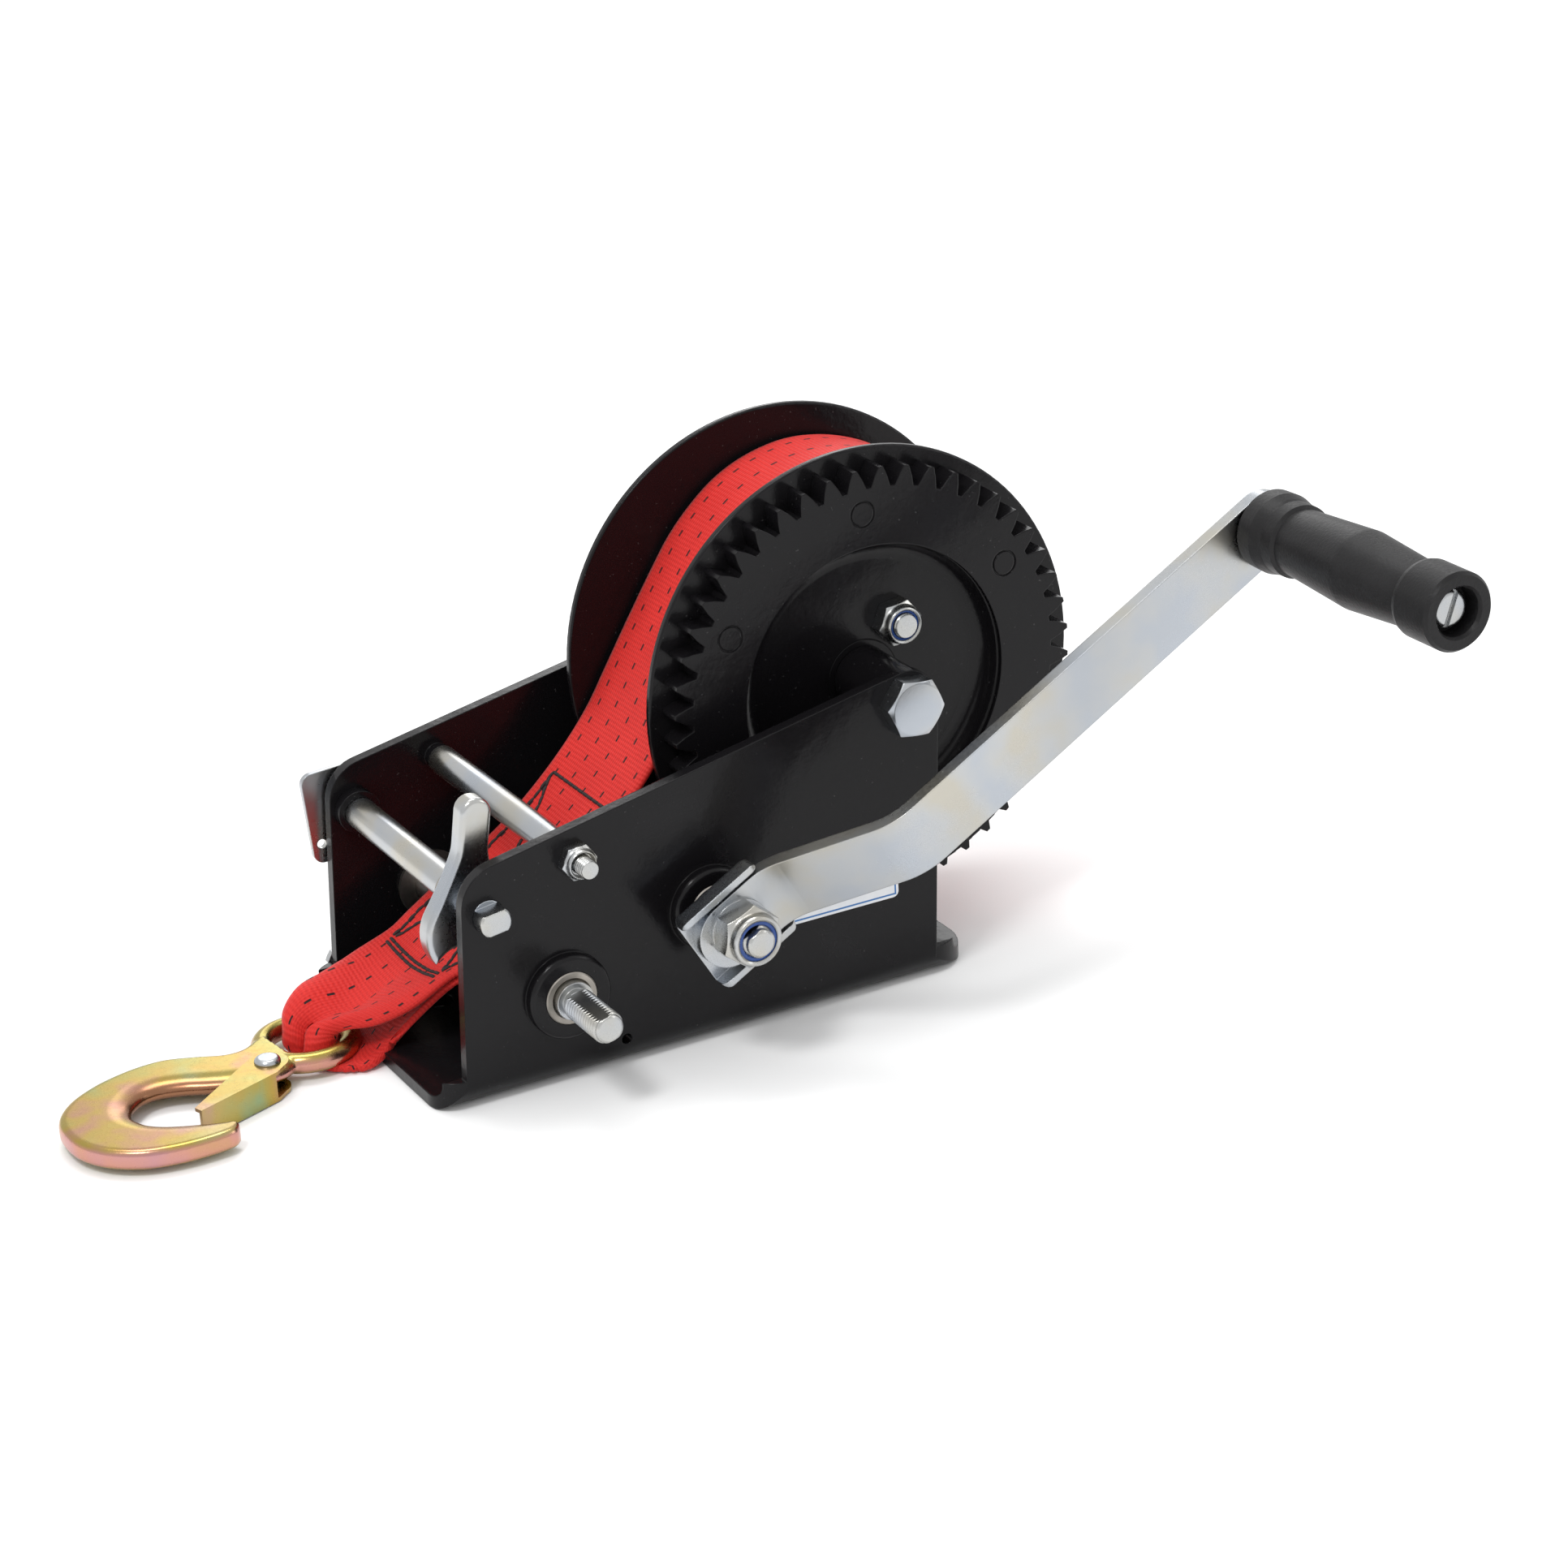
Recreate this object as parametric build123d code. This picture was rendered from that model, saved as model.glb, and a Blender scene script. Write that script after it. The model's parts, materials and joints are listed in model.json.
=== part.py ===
from build123d import *

import os
from math import acos, atan2, cos, pi, radians, sin, sqrt, tan

# Boat trailer winch: a U frame of bent plate carries a strap drum, a two-speed
# gear train, a reversible pawl and a cranked handle. +X is the drum end, the strap
# leaves towards -X, -Y is the crank side and +Z is up. The origin is the middle of
# the base's underside. All sizes are millimetres.

# ---- frame ----
BASE_LENGTH = 184.0
FRAME_WIDTH = 102.0
PLATE = 4.0
BEND_RADIUS = 8.0
BASE_REAR_RADIUS = 20.0
BASE_FRONT_RADIUS = 10.5
WALL_OUT = FRAME_WIDTH / 2
WALL_IN = WALL_OUT - PLATE
WALL_FRONT_X = -84.0
WALL_REAR_X = 75.3
FRONT_SLANT = 0.06
REAR_SLANT = 0.053
TOP_FRONT_Z = 72.7
TOP_SLOPE = 0.1986
FRONT_CORNER_RADIUS = 13.0
REAR_CORNER_RADIUS = 10.5
MOUNT_HOLE_RADIUS = 4.6
MOUNT_SPACING_X = 127.0
MOUNT_SPACING_Y = 30.0
DRAIN_HOLE_RADIUS = 1.7
BOSS_RADIUS = 13.2
BOSS_HEIGHT = 3.6
STUD_X, STUD_Z = -81.2, 8.6

# ---- gear train ----
MODULE = 2.75
PRESSURE_ANGLE = 25.0
TOOTH_PLAY = 0.22
CENTRE_PLAY = 0.08
DRUM_TEETH = 48
CRANK_PINION_TEETH = 14
REDUCTION_TEETH = 25
LAY_PINION_TEETH = 12
DRUM_X, DRUM_Z = 69.4, 92.0
MESH_1_ANGLE = 214.46
MESH_2_ANGLE = 197.5
MESH_1_CENTRES = MODULE * (DRUM_TEETH + CRANK_PINION_TEETH) / 2 + CENTRE_PLAY
MESH_2_CENTRES = MODULE * (REDUCTION_TEETH + LAY_PINION_TEETH) / 2 + CENTRE_PLAY
CRANK_X = DRUM_X + MESH_1_CENTRES * cos(radians(MESH_1_ANGLE))
CRANK_Z = DRUM_Z + MESH_1_CENTRES * sin(radians(MESH_1_ANGLE))
LAY_X = CRANK_X + MESH_2_CENTRES * cos(radians(MESH_2_ANGLE))
LAY_Z = CRANK_Z + MESH_2_CENTRES * sin(radians(MESH_2_ANGLE))
DRUM_TOOTH_ANGLE = 3.15

# ---- places across the frame, along Y ----
FLANGE = 2.5
FLANGE_NEAR_OUT = -24.0
FLANGE_FAR_OUT = 33.1
DRUM_GEAR_Y = (-32.5, -24.0)
CRANK_PINION_Y = (-33.0, -24.5)
REDUCTION_Y = (-45.2, -39.8)
RATCHET_Y = (-38.9, -32.5)
PAWL_Y = (-39.2, -32.2)

# ---- drum ----
FLANGE_RADIUS = 73.0
GEAR_BORE_RADIUS = 44.5
GEAR_MARK_RADIUS = 55.0
DISH_RADIUS = 7.0
CORE_RADIUS = 12.0
ANCHOR_OFFSET = 20.0
ANCHOR_ANGLE = 55.0
PACK_RADIUS = 49.5
AXLE_RADIUS = 5.0
AXLE_FIT = 0.05
HUB_RADIUS = 10.0

# ---- shafts, pawl and rods ----
JOURNAL_RADIUS = 5.9
JOURNAL_FIT = 0.05
BUSH_RADIUS = 8.3
BUSH_FLANGE_RADIUS = 11.0
BUSH_FLANGE = 1.4
BUSH_PROUD = 0.3
THREAD_RADIUS = 5.0
THREAD_PITCH = 1.5
CRANK_SHAFT_END = -84.0
LAY_SHAFT_END = -80.0
DOUBLE_D = 3.9
PAWL_X, PAWL_Z = -72.1, 59.4
PAWL_SHAFT_RADIUS = 4.9
PAWL_SHAFT_FLATS = 6.5
PAWL_TILT = 9.1
PAWL_EDGE = 1.5
ROD_X, ROD_Z = -43.5, 70.1
ROD_RADIUS = 4.6
ROD_STOP = 4.0
RATCHET_TEETH = 12
RATCHET_TIP = 18.0
RATCHET_ROOT = 13.5

# ---- crank ----
ARM_ANGLE = 29.7
ARM_REACH = 194.0
ARM_WIDTH = 21.0
ARM_TAIL = 13.4
ARM_THICKNESS = 4.6
ARM_IN_Y = -67.25
ARM_OUT_Y = -96.05
ARM_BEND_START = 16.0
ARM_BEND_END = 50.0
ARM_BEND_RADIUS = 18.0
BRACKET_HALF = 13.8
BRACKET_SHEET = 2.1
BRACKET_FRONT = -70.0
GRIP_START = -99.2
GRIP_LENGTH = 91.0

# ---- strap and hook ----
STRAP_WIDTH = 49.0
STRAP_MIDDLE_Y = 4.5
STRAP_THICKNESS = 2.4
HOOK_LOW = 1.5
HOOK_THICKNESS = 6.6
RING_X, RING_Y = -109.6, 9.7
RING_RADIUS = 13.6
RING_WIRE = 3.3
LATCH_X, LATCH_Y = -127.3, -4.4
LATCH_SHEET = 1.1
LATCH_GAP = 0.3

os.makedirs("parts", exist_ok=True)


# ---------------------------------------------------------------- helpers
def side_plane(y):
    """A plane whose local x, y are the world's X, Z and whose normal is -Y."""
    return Plane(origin=(0, y, 0), x_dir=(1, 0, 0), z_dir=(0, -1, 0))


def slab(sketch, y0, y1):
    """Extrude a sketch drawn in X, Z between two places along Y."""
    return extrude(side_plane(y1) * sketch, amount=y1 - y0)


def rod(radius, y0, y1, x, z):
    """A round bar along Y."""
    return slab(Pos(x, z) * Circle(radius), y0, y1)


def tube(outer, inner, y0, y1, x, z):
    """A round tube along Y."""
    return rod(outer, y0, y1, x, z) - rod(inner, y0 - 1, y1 + 1, x, z)


def turned(points, x, z):
    """Revolve an outline of (radius, y) points about the line through x, z along Y."""
    profile = make_face(Polyline(*[(r, y, 0) for r, y in points], close=True))
    return Pos(x, 0, z) * revolve(profile, axis=Axis.Y)


def hexagon(across, turn=0.0):
    """A hexagon by its size across flats."""
    return Rot(0, 0, turn) * RegularPolygon(across / sqrt(3), 6)


def thread(radius, pitch, y0, y1, x, z, depth=0.5):
    """A threaded end as a stack of V grooves, between y0 and y1."""
    count = int((y1 - y0) / pitch - 0.2)
    start = y1 - count * pitch
    points = [(0, y0), (radius - depth, y0), (radius - depth, start)]
    for i in range(count):
        points += [(radius, start + (i + 0.5) * pitch), (radius - depth, start + (i + 1) * pitch)]
    points += [(0, y1)]
    return turned(points, x, z)


def bolt_head(across, height, y_seat, side, x, z, turn=0.0):
    """A chamfered hex head that grows from y_seat towards side (-1 or +1)."""
    y_end = y_seat + side * height
    block = slab(Pos(x, z) * hexagon(across, turn), min(y_seat, y_end), max(y_seat, y_end))
    corner = across / sqrt(3)
    flat = across / 2 * 0.95
    drop = (corner + 0.5 - flat) * tan(radians(30))
    cone = turned(
        [(0, y_seat), (corner + 0.5, y_seat), (corner + 0.5, y_end - side * drop), (flat, y_end), (0, y_end)],
        x,
        z,
    )
    return block & cone


def lock_nut(across, height, bore, y_seat, side, x, z, turn=0.0):
    """A nylon-insert lock nut: hex body, round collar with a rolled lip, and a pocket for the insert."""
    body = 0.68 * height
    y_body = y_seat + side * body
    y_top = y_seat + side * height
    collar = across / 2 * 0.93
    lip = collar - 0.055 * across
    pocket = lip - 0.044 * across
    block = bolt_head(across, body, y_seat, side, x, z, turn)
    top = turned(
        [
            (bore, y_body - side * 0.6),
            (collar + 0.6, y_body - side * 0.6),
            (collar, y_body + side * 0.4),
            (collar, y_top - side * 1.0),
            (collar - 0.3, y_top - side * 0.3),
            (lip, y_top),
            (pocket, y_top - side * 0.5),
            (pocket, y_top - side * 2.2),
            (bore, y_top - side * 2.2),
        ],
        x,
        z,
    )
    return block - rod(bore, -120, 120, x, z) + top


def lock_insert(across, height, bore, y_seat, side, x, z):
    """The nylon ring in a lock nut's collar."""
    y_top = y_seat + side * height
    outer = across * (0.465 - 0.099) - 0.02
    return turned(
        [
            (bore, y_top - side * 2.15),
            (outer, y_top - side * 2.15),
            (outer, y_top - side * 0.9),
            (bore + 0.3, y_top - side * 0.7),
            (bore, y_top - side * 1.0),
        ],
        x,
        z,
    )


def tooth_half_angle(radius, pitch_radius):
    """Half the angle that an involute tooth covers at a radius."""
    base = pitch_radius * cos(radians(PRESSURE_ANGLE))
    involute = tan(radians(PRESSURE_ANGLE)) - radians(PRESSURE_ANGLE)
    at_pitch = (pi * MODULE / 2 - TOOTH_PLAY) / (2 * pitch_radius)
    if radius <= base:
        return at_pitch + involute
    pressure = acos(base / radius)
    return at_pitch + involute - (tan(pressure) - pressure)


def gear_outline(teeth, first_tooth, flank_steps):
    """A gear's outline with involute flanks; one tooth is centred on first_tooth, in degrees."""
    pitch_radius = MODULE * teeth / 2
    root = pitch_radius - 1.25 * MODULE
    tip = pitch_radius + MODULE
    base = max(root + 0.2, pitch_radius * cos(radians(PRESSURE_ANGLE)))
    radii = [root] + [base + (tip - base) * i / flank_steps for i in range(flank_steps + 1)]
    points = []
    for i in range(teeth):
        middle = radians(first_tooth) + 2 * pi * i / teeth
        for r in radii:
            a = middle - tooth_half_angle(r, pitch_radius)
            points.append((r * cos(a), r * sin(a)))
        for r in reversed(radii):
            a = middle + tooth_half_angle(r, pitch_radius)
            points.append((r * cos(a), r * sin(a)))
    return make_face(Polyline(*points, close=True))


def meshed_tooth(driver_teeth, driver_tooth, mesh_angle, teeth):
    """Where a tooth of the second gear is centred when it meshes with the first."""
    return mesh_angle + 180 + (mesh_angle - driver_tooth) * driver_teeth / teeth + 180 / teeth


def save(name, shape):
    export_step(shape, f"parts/{name}.step")


# ---------------------------------------------------------------- frame
def wall_outline():
    """The side view of both walls: slanted ends, a top that climbs to the drum, rounded corners."""
    front_top_x = WALL_FRONT_X + FRONT_SLANT * TOP_FRONT_Z
    rear_top_z = TOP_FRONT_Z + TOP_SLOPE * (WALL_REAR_X + 5.5 - front_top_x)
    rear_top_x = WALL_REAR_X + REAR_SLANT * rear_top_z
    face = make_face(
        Polyline(
            (WALL_FRONT_X, 0),
            (WALL_REAR_X, 0),
            (rear_top_x, rear_top_z),
            (front_top_x, TOP_FRONT_Z),
            close=True,
        )
    )
    corners = face.vertices().sort_by(Axis.Y)
    face = fillet([corners[-1]], REAR_CORNER_RADIUS)
    corners = face.vertices().filter_by_position(Axis.X, front_top_x - 0.1, front_top_x + 0.1)
    return fillet(corners, FRONT_CORNER_RADIUS)


def base_outline():
    """The base in plan, with round corners."""
    plate = Rectangle(BASE_LENGTH, FRAME_WIDTH)
    front = plate.vertices().sort_by(Axis.X)[:2]
    plate = fillet(front, BASE_FRONT_RADIUS)
    rear = plate.vertices().filter_by_position(Axis.X, BASE_LENGTH / 2 - 0.1, BASE_LENGTH / 2 + 0.1)
    return fillet(rear, BASE_REAR_RADIUS)


def channel():
    """The U section of the frame, bent from one plate."""
    high = 130.0
    outer = Pos(0, high / 2) * Rectangle(FRAME_WIDTH, high)
    outer = fillet(outer.vertices().sort_by(Axis.Y)[:2], BEND_RADIUS)
    inner = Pos(0, PLATE + high / 2) * Rectangle(2 * WALL_IN, high)
    inner = fillet(inner.vertices().sort_by(Axis.Y)[:2], BEND_RADIUS - PLATE)
    section = Plane(origin=(-BASE_LENGTH / 2, 0, 0), x_dir=(0, 1, 0), z_dir=(1, 0, 0)) * (outer - inner)
    return extrude(section, amount=BASE_LENGTH)


def frame_bracket():
    walls = slab(wall_outline(), -WALL_OUT, WALL_OUT)
    base = extrude(base_outline(), amount=BEND_RADIUS + 1)
    body = channel() & (walls + base)
    for x, z in ((CRANK_X, CRANK_Z), (LAY_X, LAY_Z)):
        collar = rod(BOSS_RADIUS, -WALL_OUT - BOSS_HEIGHT, -WALL_OUT + 1, x, z)
        body += fillet(collar.faces().sort_by(Axis.Y)[0].edges(), 1.6)
        collar = rod(BOSS_RADIUS, WALL_OUT - 1, WALL_OUT + BOSS_HEIGHT, x, z)
        body += fillet(collar.faces().sort_by(Axis.Y)[-1].edges(), 1.6)
        body -= rod(BUSH_RADIUS, -70, 70, x, z)
    body -= rod(AXLE_RADIUS + 0.2, -70, 70, DRUM_X, DRUM_Z)
    body += rod(ROD_RADIUS - 0.6, WALL_IN - ROD_STOP, WALL_IN + 1, ROD_X, ROD_Z)
    body -= rod(3.2, -70, 70, ROD_X, ROD_Z)
    body -= rod(PAWL_SHAFT_RADIUS + 0.05, -70, 70, PAWL_X, PAWL_Z)
    body -= rod(DRAIN_HOLE_RADIUS, -70, -40, WALL_FRONT_X + 52.7, 8.5)
    body -= rod(2.05, 40, 70, STUD_X, STUD_Z)
    for sx in (-1, 1):
        for sy in (-1, 1):
            hole = Cylinder(MOUNT_HOLE_RADIUS, 20)
            body -= Pos(sx * MOUNT_SPACING_X / 2, sy * MOUNT_SPACING_Y / 2, 0) * hole
    return body


def bushing(side, x, z):
    """A flanged bushing: the flange is inside the wall and the sleeve fills the pressed collar."""
    bore = JOURNAL_RADIUS + JOURNAL_FIT
    end = WALL_OUT + BOSS_HEIGHT + BUSH_PROUD
    points = [
        (bore, WALL_IN - BUSH_FLANGE),
        (BUSH_FLANGE_RADIUS, WALL_IN - BUSH_FLANGE),
        (BUSH_FLANGE_RADIUS, WALL_IN),
        (BUSH_RADIUS, WALL_IN),
        (BUSH_RADIUS, end - 0.4),
        (BUSH_RADIUS - 0.4, end),
        (bore + 0.5, end),
        (bore, end - 0.5),
    ]
    return turned([(r, side * y) for r, y in points], x, z)


def drum_axle_bolt():
    head = bolt_head(17.0, 6.4, -WALL_OUT, -1, DRUM_X, DRUM_Z, turn=-6.0)
    shank = rod(AXLE_RADIUS, -WALL_OUT, WALL_OUT + 1, DRUM_X, DRUM_Z)
    end = thread(AXLE_RADIUS, THREAD_PITCH, -WALL_OUT - 13.5, -WALL_OUT - 1, DRUM_X, DRUM_Z)
    return head + shank + mirror(end, Plane.XZ)


def spacer_bolt():
    head = bolt_head(10.0, 4.0, WALL_OUT, 1, ROD_X, ROD_Z, turn=12.0)
    shank = rod(3.0, -WALL_OUT - 4, WALL_OUT, ROD_X, ROD_Z)
    end = thread(3.0, 1.0, -WALL_OUT - 10.4, -WALL_OUT - 4, ROD_X, ROD_Z, depth=0.35)
    return head + shank + end


# ---------------------------------------------------------------- drum
def on_drum(radius, angle):
    """A point on the drum, from its axis, in X and Z."""
    return DRUM_X + radius * cos(radians(angle)), DRUM_Z + radius * sin(radians(angle))


ANCHOR_X, ANCHOR_Z = on_drum(ANCHOR_OFFSET, ANCHOR_ANGLE)


def drum_core():
    return tube(CORE_RADIUS, AXLE_RADIUS + AXLE_FIT, FLANGE_NEAR_OUT, FLANGE_FAR_OUT, DRUM_X, DRUM_Z)


def drum_flange(y0):
    disc = rod(FLANGE_RADIUS, y0, y0 + FLANGE, DRUM_X, DRUM_Z)
    disc = fillet(disc.edges().filter_by(GeomType.CIRCLE), 0.6)
    disc -= rod(CORE_RADIUS, -60, 60, DRUM_X, DRUM_Z)
    return disc - rod(4.1, -60, 60, ANCHOR_X, ANCHOR_Z)


def dished_flange():
    """The near flange, pressed up into the gear ring's bore with a round corner."""
    outer = GEAR_BORE_RADIUS - 0.1
    seat = FLANGE_NEAR_OUT + 0.5
    top = FLANGE_NEAR_OUT - DISH_RADIUS
    lean = DISH_RADIUS * (1 - sqrt(0.5))
    arc = ThreePointArc(
        (outer, top),
        (outer - lean, FLANGE_NEAR_OUT - lean),
        (outer - DISH_RADIUS, FLANGE_NEAR_OUT),
    )
    base = Polyline((outer - DISH_RADIUS, FLANGE_NEAR_OUT), (outer - DISH_RADIUS, seat), (outer, seat), (outer, top))
    corner = revolve(make_face(arc + base), axis=Axis.Y)
    return drum_flange(FLANGE_NEAR_OUT) + Pos(DRUM_X, 0, DRUM_Z) * corner


def drum_gear():
    """The toothed ring on the near flange, with its six round weld marks."""
    outline = gear_outline(DRUM_TEETH, DRUM_TOOTH_ANGLE, 2) - Circle(GEAR_BORE_RADIUS)
    ring = slab(Pos(DRUM_X, DRUM_Z) * outline, *DRUM_GEAR_Y)
    for i in range(6):
        x, z = on_drum(GEAR_MARK_RADIUS, 32 + 60 * i)
        ring -= tube(4.2, 3.6, DRUM_GEAR_Y[0] - 1, DRUM_GEAR_Y[0] + 0.5, x, z)
    return ring


def strap_anchor_bolt():
    head = bolt_head(13.0, 5.3, FLANGE_FAR_OUT, 1, ANCHOR_X, ANCHOR_Z, turn=20.0)
    shank = rod(4.0, FLANGE_NEAR_OUT - 2, FLANGE_FAR_OUT, ANCHOR_X, ANCHOR_Z)
    end = thread(4.0, 1.25, FLANGE_NEAR_OUT - 8.6, FLANGE_NEAR_OUT - 2, ANCHOR_X, ANCHOR_Z, depth=0.4)
    return head + shank + end


def strap_pack():
    """The wound strap between the flanges, round the core and the anchor sleeve."""
    low = STRAP_MIDDLE_Y - STRAP_WIDTH / 2
    high = STRAP_MIDDLE_Y + STRAP_WIDTH / 2
    pack = rod(PACK_RADIUS, low, high, DRUM_X, DRUM_Z)
    pack -= rod(CORE_RADIUS, -60, 60, DRUM_X, DRUM_Z)
    return pack - rod(6.6, -60, 60, ANCHOR_X, ANCHOR_Z)


# ---------------------------------------------------------------- shafts
def shaft_end(y_end, x, z, turn):
    """A threaded end with two flats, from the shoulder at the wall to y_end."""
    shoulder = -WALL_OUT - BOSS_HEIGHT - 2.6
    neck = rod(THREAD_RADIUS - 0.9, shoulder - 2.0, shoulder, x, z)
    end = thread(THREAD_RADIUS, THREAD_PITCH, y_end + 0.8, shoulder - 2.0, x, z, depth=0.8)
    tip = turned([(0, y_end), (3.6, y_end), (4.5, y_end + 0.8), (0, y_end + 0.8)], x, z)
    flats = Pos(x, z) * (Rot(0, 0, turn) * Rectangle(40, 2 * DOUBLE_D))
    return neck + ((end + tip) & slab(flats, y_end - 1, shoulder))


def journal(x, z):
    """The plain length of a gear shaft, through both bushings."""
    reach = WALL_OUT + BOSS_HEIGHT
    return rod(JOURNAL_RADIUS, -reach - 2.6, reach + 3.4, x, z)


def shaft_ring(x, z):
    """The retaining ring outside the far bushing, in the shaft's groove."""
    y0 = WALL_OUT + BOSS_HEIGHT + BUSH_PROUD + 0.3
    ring = tube(8.6, JOURNAL_RADIUS, y0, y0 + 1.2, x, z)
    return ring - slab(Pos(x, z + 8) * Rectangle(4, 8), y0 - 1, y0 + 3)


def spur_gear(teeth, first_tooth, bore, ys, x, z):
    outline = gear_outline(teeth, first_tooth, 4) - Circle(bore)
    return slab(Pos(x, z) * outline, *ys)


def reduction_gear(first_tooth):
    gear = spur_gear(REDUCTION_TEETH, first_tooth, JOURNAL_RADIUS, REDUCTION_Y, CRANK_X, CRANK_Z)
    return gear + tube(10.0, JOURNAL_RADIUS, REDUCTION_Y[1], CRANK_PINION_Y[0] - 0.2, CRANK_X, CRANK_Z)


def ratchet_wheel():
    """Square-cut teeth, so that the pawl can hold either way."""
    half = 360 / RATCHET_TEETH / 4
    points = []
    for i in range(RATCHET_TEETH):
        middle = 360 * i / RATCHET_TEETH
        ring = [(RATCHET_ROOT, -half), (RATCHET_TIP, -0.7 * half), (RATCHET_TIP, 0.7 * half), (RATCHET_ROOT, half)]
        points += [(r * cos(radians(middle + a)), r * sin(radians(middle + a))) for r, a in ring]
    face = make_face(Polyline(*points, close=True)) - Circle(JOURNAL_RADIUS)
    return slab(Pos(LAY_X, LAY_Z) * face, *RATCHET_Y)


# ---------------------------------------------------------------- pawl
def pawl():
    """A thumb finger above the shaft and two spread claws below it, with rounded edges."""
    finger = Pos(0, 14.5) * RectangleRounded(9.6, 34.6, 4.7)
    flank = Spline((4.8, 17.0), (5.7, 12.0), (8.8, 3.5), (11.6, -2.8), (13.2, -8.5), tangents=((0, -1), (0.1, -1)))
    claw = Spline((13.2, -8.5), (12.6, -13.2), (9.4, -18.8))
    notch = Spline((9.4, -18.8), (5.2, -14.6), (0, -13.0))
    middle = Polyline((0, -13.0), (0, 17.0), (4.8, 17.0))
    half = make_face(flank + claw + notch + middle)
    outline = finger + half + mirror(half, Plane.YZ)
    plate = slab(outline, *PAWL_Y)
    rims = plate.faces().sort_by(Axis.Y)
    plate = fillet(rims[0].outer_wire().edges() + rims[-1].outer_wire().edges(), PAWL_EDGE)
    placed = Pos(PAWL_X, 0, PAWL_Z) * (Rot(0, PAWL_TILT, 0) * plate)
    return placed - rod(PAWL_SHAFT_RADIUS, -60, 0, PAWL_X, PAWL_Z)


def pawl_shaft():
    """The shaft that the pawl is keyed to; its near end is a double-D pin."""
    near = -WALL_OUT - 6.2
    body = rod(PAWL_SHAFT_RADIUS, -WALL_OUT, WALL_OUT + 5.6, PAWL_X, PAWL_Z)
    pin = rod(PAWL_SHAFT_RADIUS, near, -WALL_OUT, PAWL_X, PAWL_Z)
    pin = chamfer(pin.faces().sort_by(Axis.Y)[0].edges(), 0.6)
    flats = Pos(PAWL_X, PAWL_Z) * (Rot(0, 0, 8) * Rectangle(20, PAWL_SHAFT_FLATS))
    return body + (pin & slab(flats, near - 1, -WALL_OUT))


def pawl_lever():
    """The flat plate on the far end of the pawl shaft, outside the wall."""
    y0 = WALL_OUT + 1.6
    plate = RectangleRounded(28, 30, 3.5)
    low = Pos(-10.8, -8.6) * Circle(1.5)
    sheet = Pos(PAWL_X + 0.2, PAWL_Z - 2.0) * (Rot(0, 0, 4) * (plate - low))
    return slab(sheet, y0, y0 + 1.8) - rod(PAWL_SHAFT_RADIUS, 40, 70, PAWL_X, PAWL_Z)


def pawl_spring():
    """A torsion spring wound on the pawl shaft beside the pawl."""
    turns, pitch, wire = 3.0, 1.35, 0.5
    path = Helix(pitch=pitch, height=turns * pitch, radius=PAWL_SHAFT_RADIUS + wire + 0.7)
    ring = Plane(origin=path @ 0, z_dir=path % 0) * Circle(wire)
    wound = sweep(ring, path=path, is_frenet=True)
    return Pos(PAWL_X, PAWL_Y[1] + 0.9, PAWL_Z) * (Rot(-90, 0, 0) * wound)


# ---------------------------------------------------------------- crank
def on_arm(shape):
    """Turn a piece drawn along +X from the origin onto the crank's rest direction."""
    return Pos(CRANK_X, 0, CRANK_Z) * (Rot(0, -ARM_ANGLE, 0) * shape)


GRIP_X = CRANK_X + ARM_REACH * cos(radians(ARM_ANGLE))
GRIP_Z = CRANK_Z + ARM_REACH * sin(radians(ARM_ANGLE))


def crank_arm():
    """A flat bar with rounded ends, stepped outwards by two bends so that the grip clears the frame."""
    end = ARM_REACH + ARM_WIDTH
    path = FilletPolyline(
        (-ARM_WIDTH, ARM_IN_Y),
        (ARM_BEND_START, ARM_IN_Y),
        (ARM_BEND_END, ARM_OUT_Y),
        (end, ARM_OUT_Y),
        radius=ARM_BEND_RADIUS,
    )
    band = make_face(offset(path, amount=ARM_THICKNESS / 2, side=Side.BOTH))
    bar = extrude(band, amount=ARM_WIDTH / 2, both=True)
    overall = ARM_TAIL + ARM_REACH + ARM_WIDTH / 2
    plan = Pos(overall / 2 - ARM_TAIL, 0) * SlotOverall(overall, ARM_WIDTH)
    plan -= Circle(THREAD_RADIUS + 0.02)
    plan -= Pos(ARM_REACH, 0) * Circle(4.0)
    arm = bar & slab(plan, -110, -50)
    return on_arm(arm)


def crank_bracket():
    """A plate behind the arm with two lips that hold the arm's sides."""
    back = ARM_IN_Y + ARM_THICKNESS / 2
    rear = back + BRACKET_SHEET
    block = slab(Pos(0.5, 0) * RectangleRounded(29, 2 * BRACKET_HALF, 2.4), BRACKET_FRONT, rear)
    block = fillet(block.faces().sort_by(Axis.Y)[-1].edges(), 1.8)
    block -= slab(Rectangle(60, 2 * (BRACKET_HALF - BRACKET_SHEET)), BRACKET_FRONT - 1, back)
    reach = 2 * (rear - BRACKET_FRONT)
    plan = Pos(0.5, BRACKET_FRONT + reach / 2, -20) * RectangleRounded(29, reach, 2.6)
    block &= extrude(plan, amount=40)
    return on_arm(block - rod(THREAD_RADIUS + 0.02, -90, -50, 0, 0))


def crank_washer():
    front = ARM_IN_Y - ARM_THICKNESS / 2
    return tube(9.4, THREAD_RADIUS + 0.02, front - 1.4, front, CRANK_X, CRANK_Z)


def crank_sleeve():
    """The spacer on the crank shaft between the wall and the bracket."""
    back = ARM_IN_Y + ARM_THICKNESS / 2 + BRACKET_SHEET
    return tube(8.2, THREAD_RADIUS + 0.02, back, -WALL_OUT - BOSS_HEIGHT - 2.6, CRANK_X, CRANK_Z)


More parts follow.
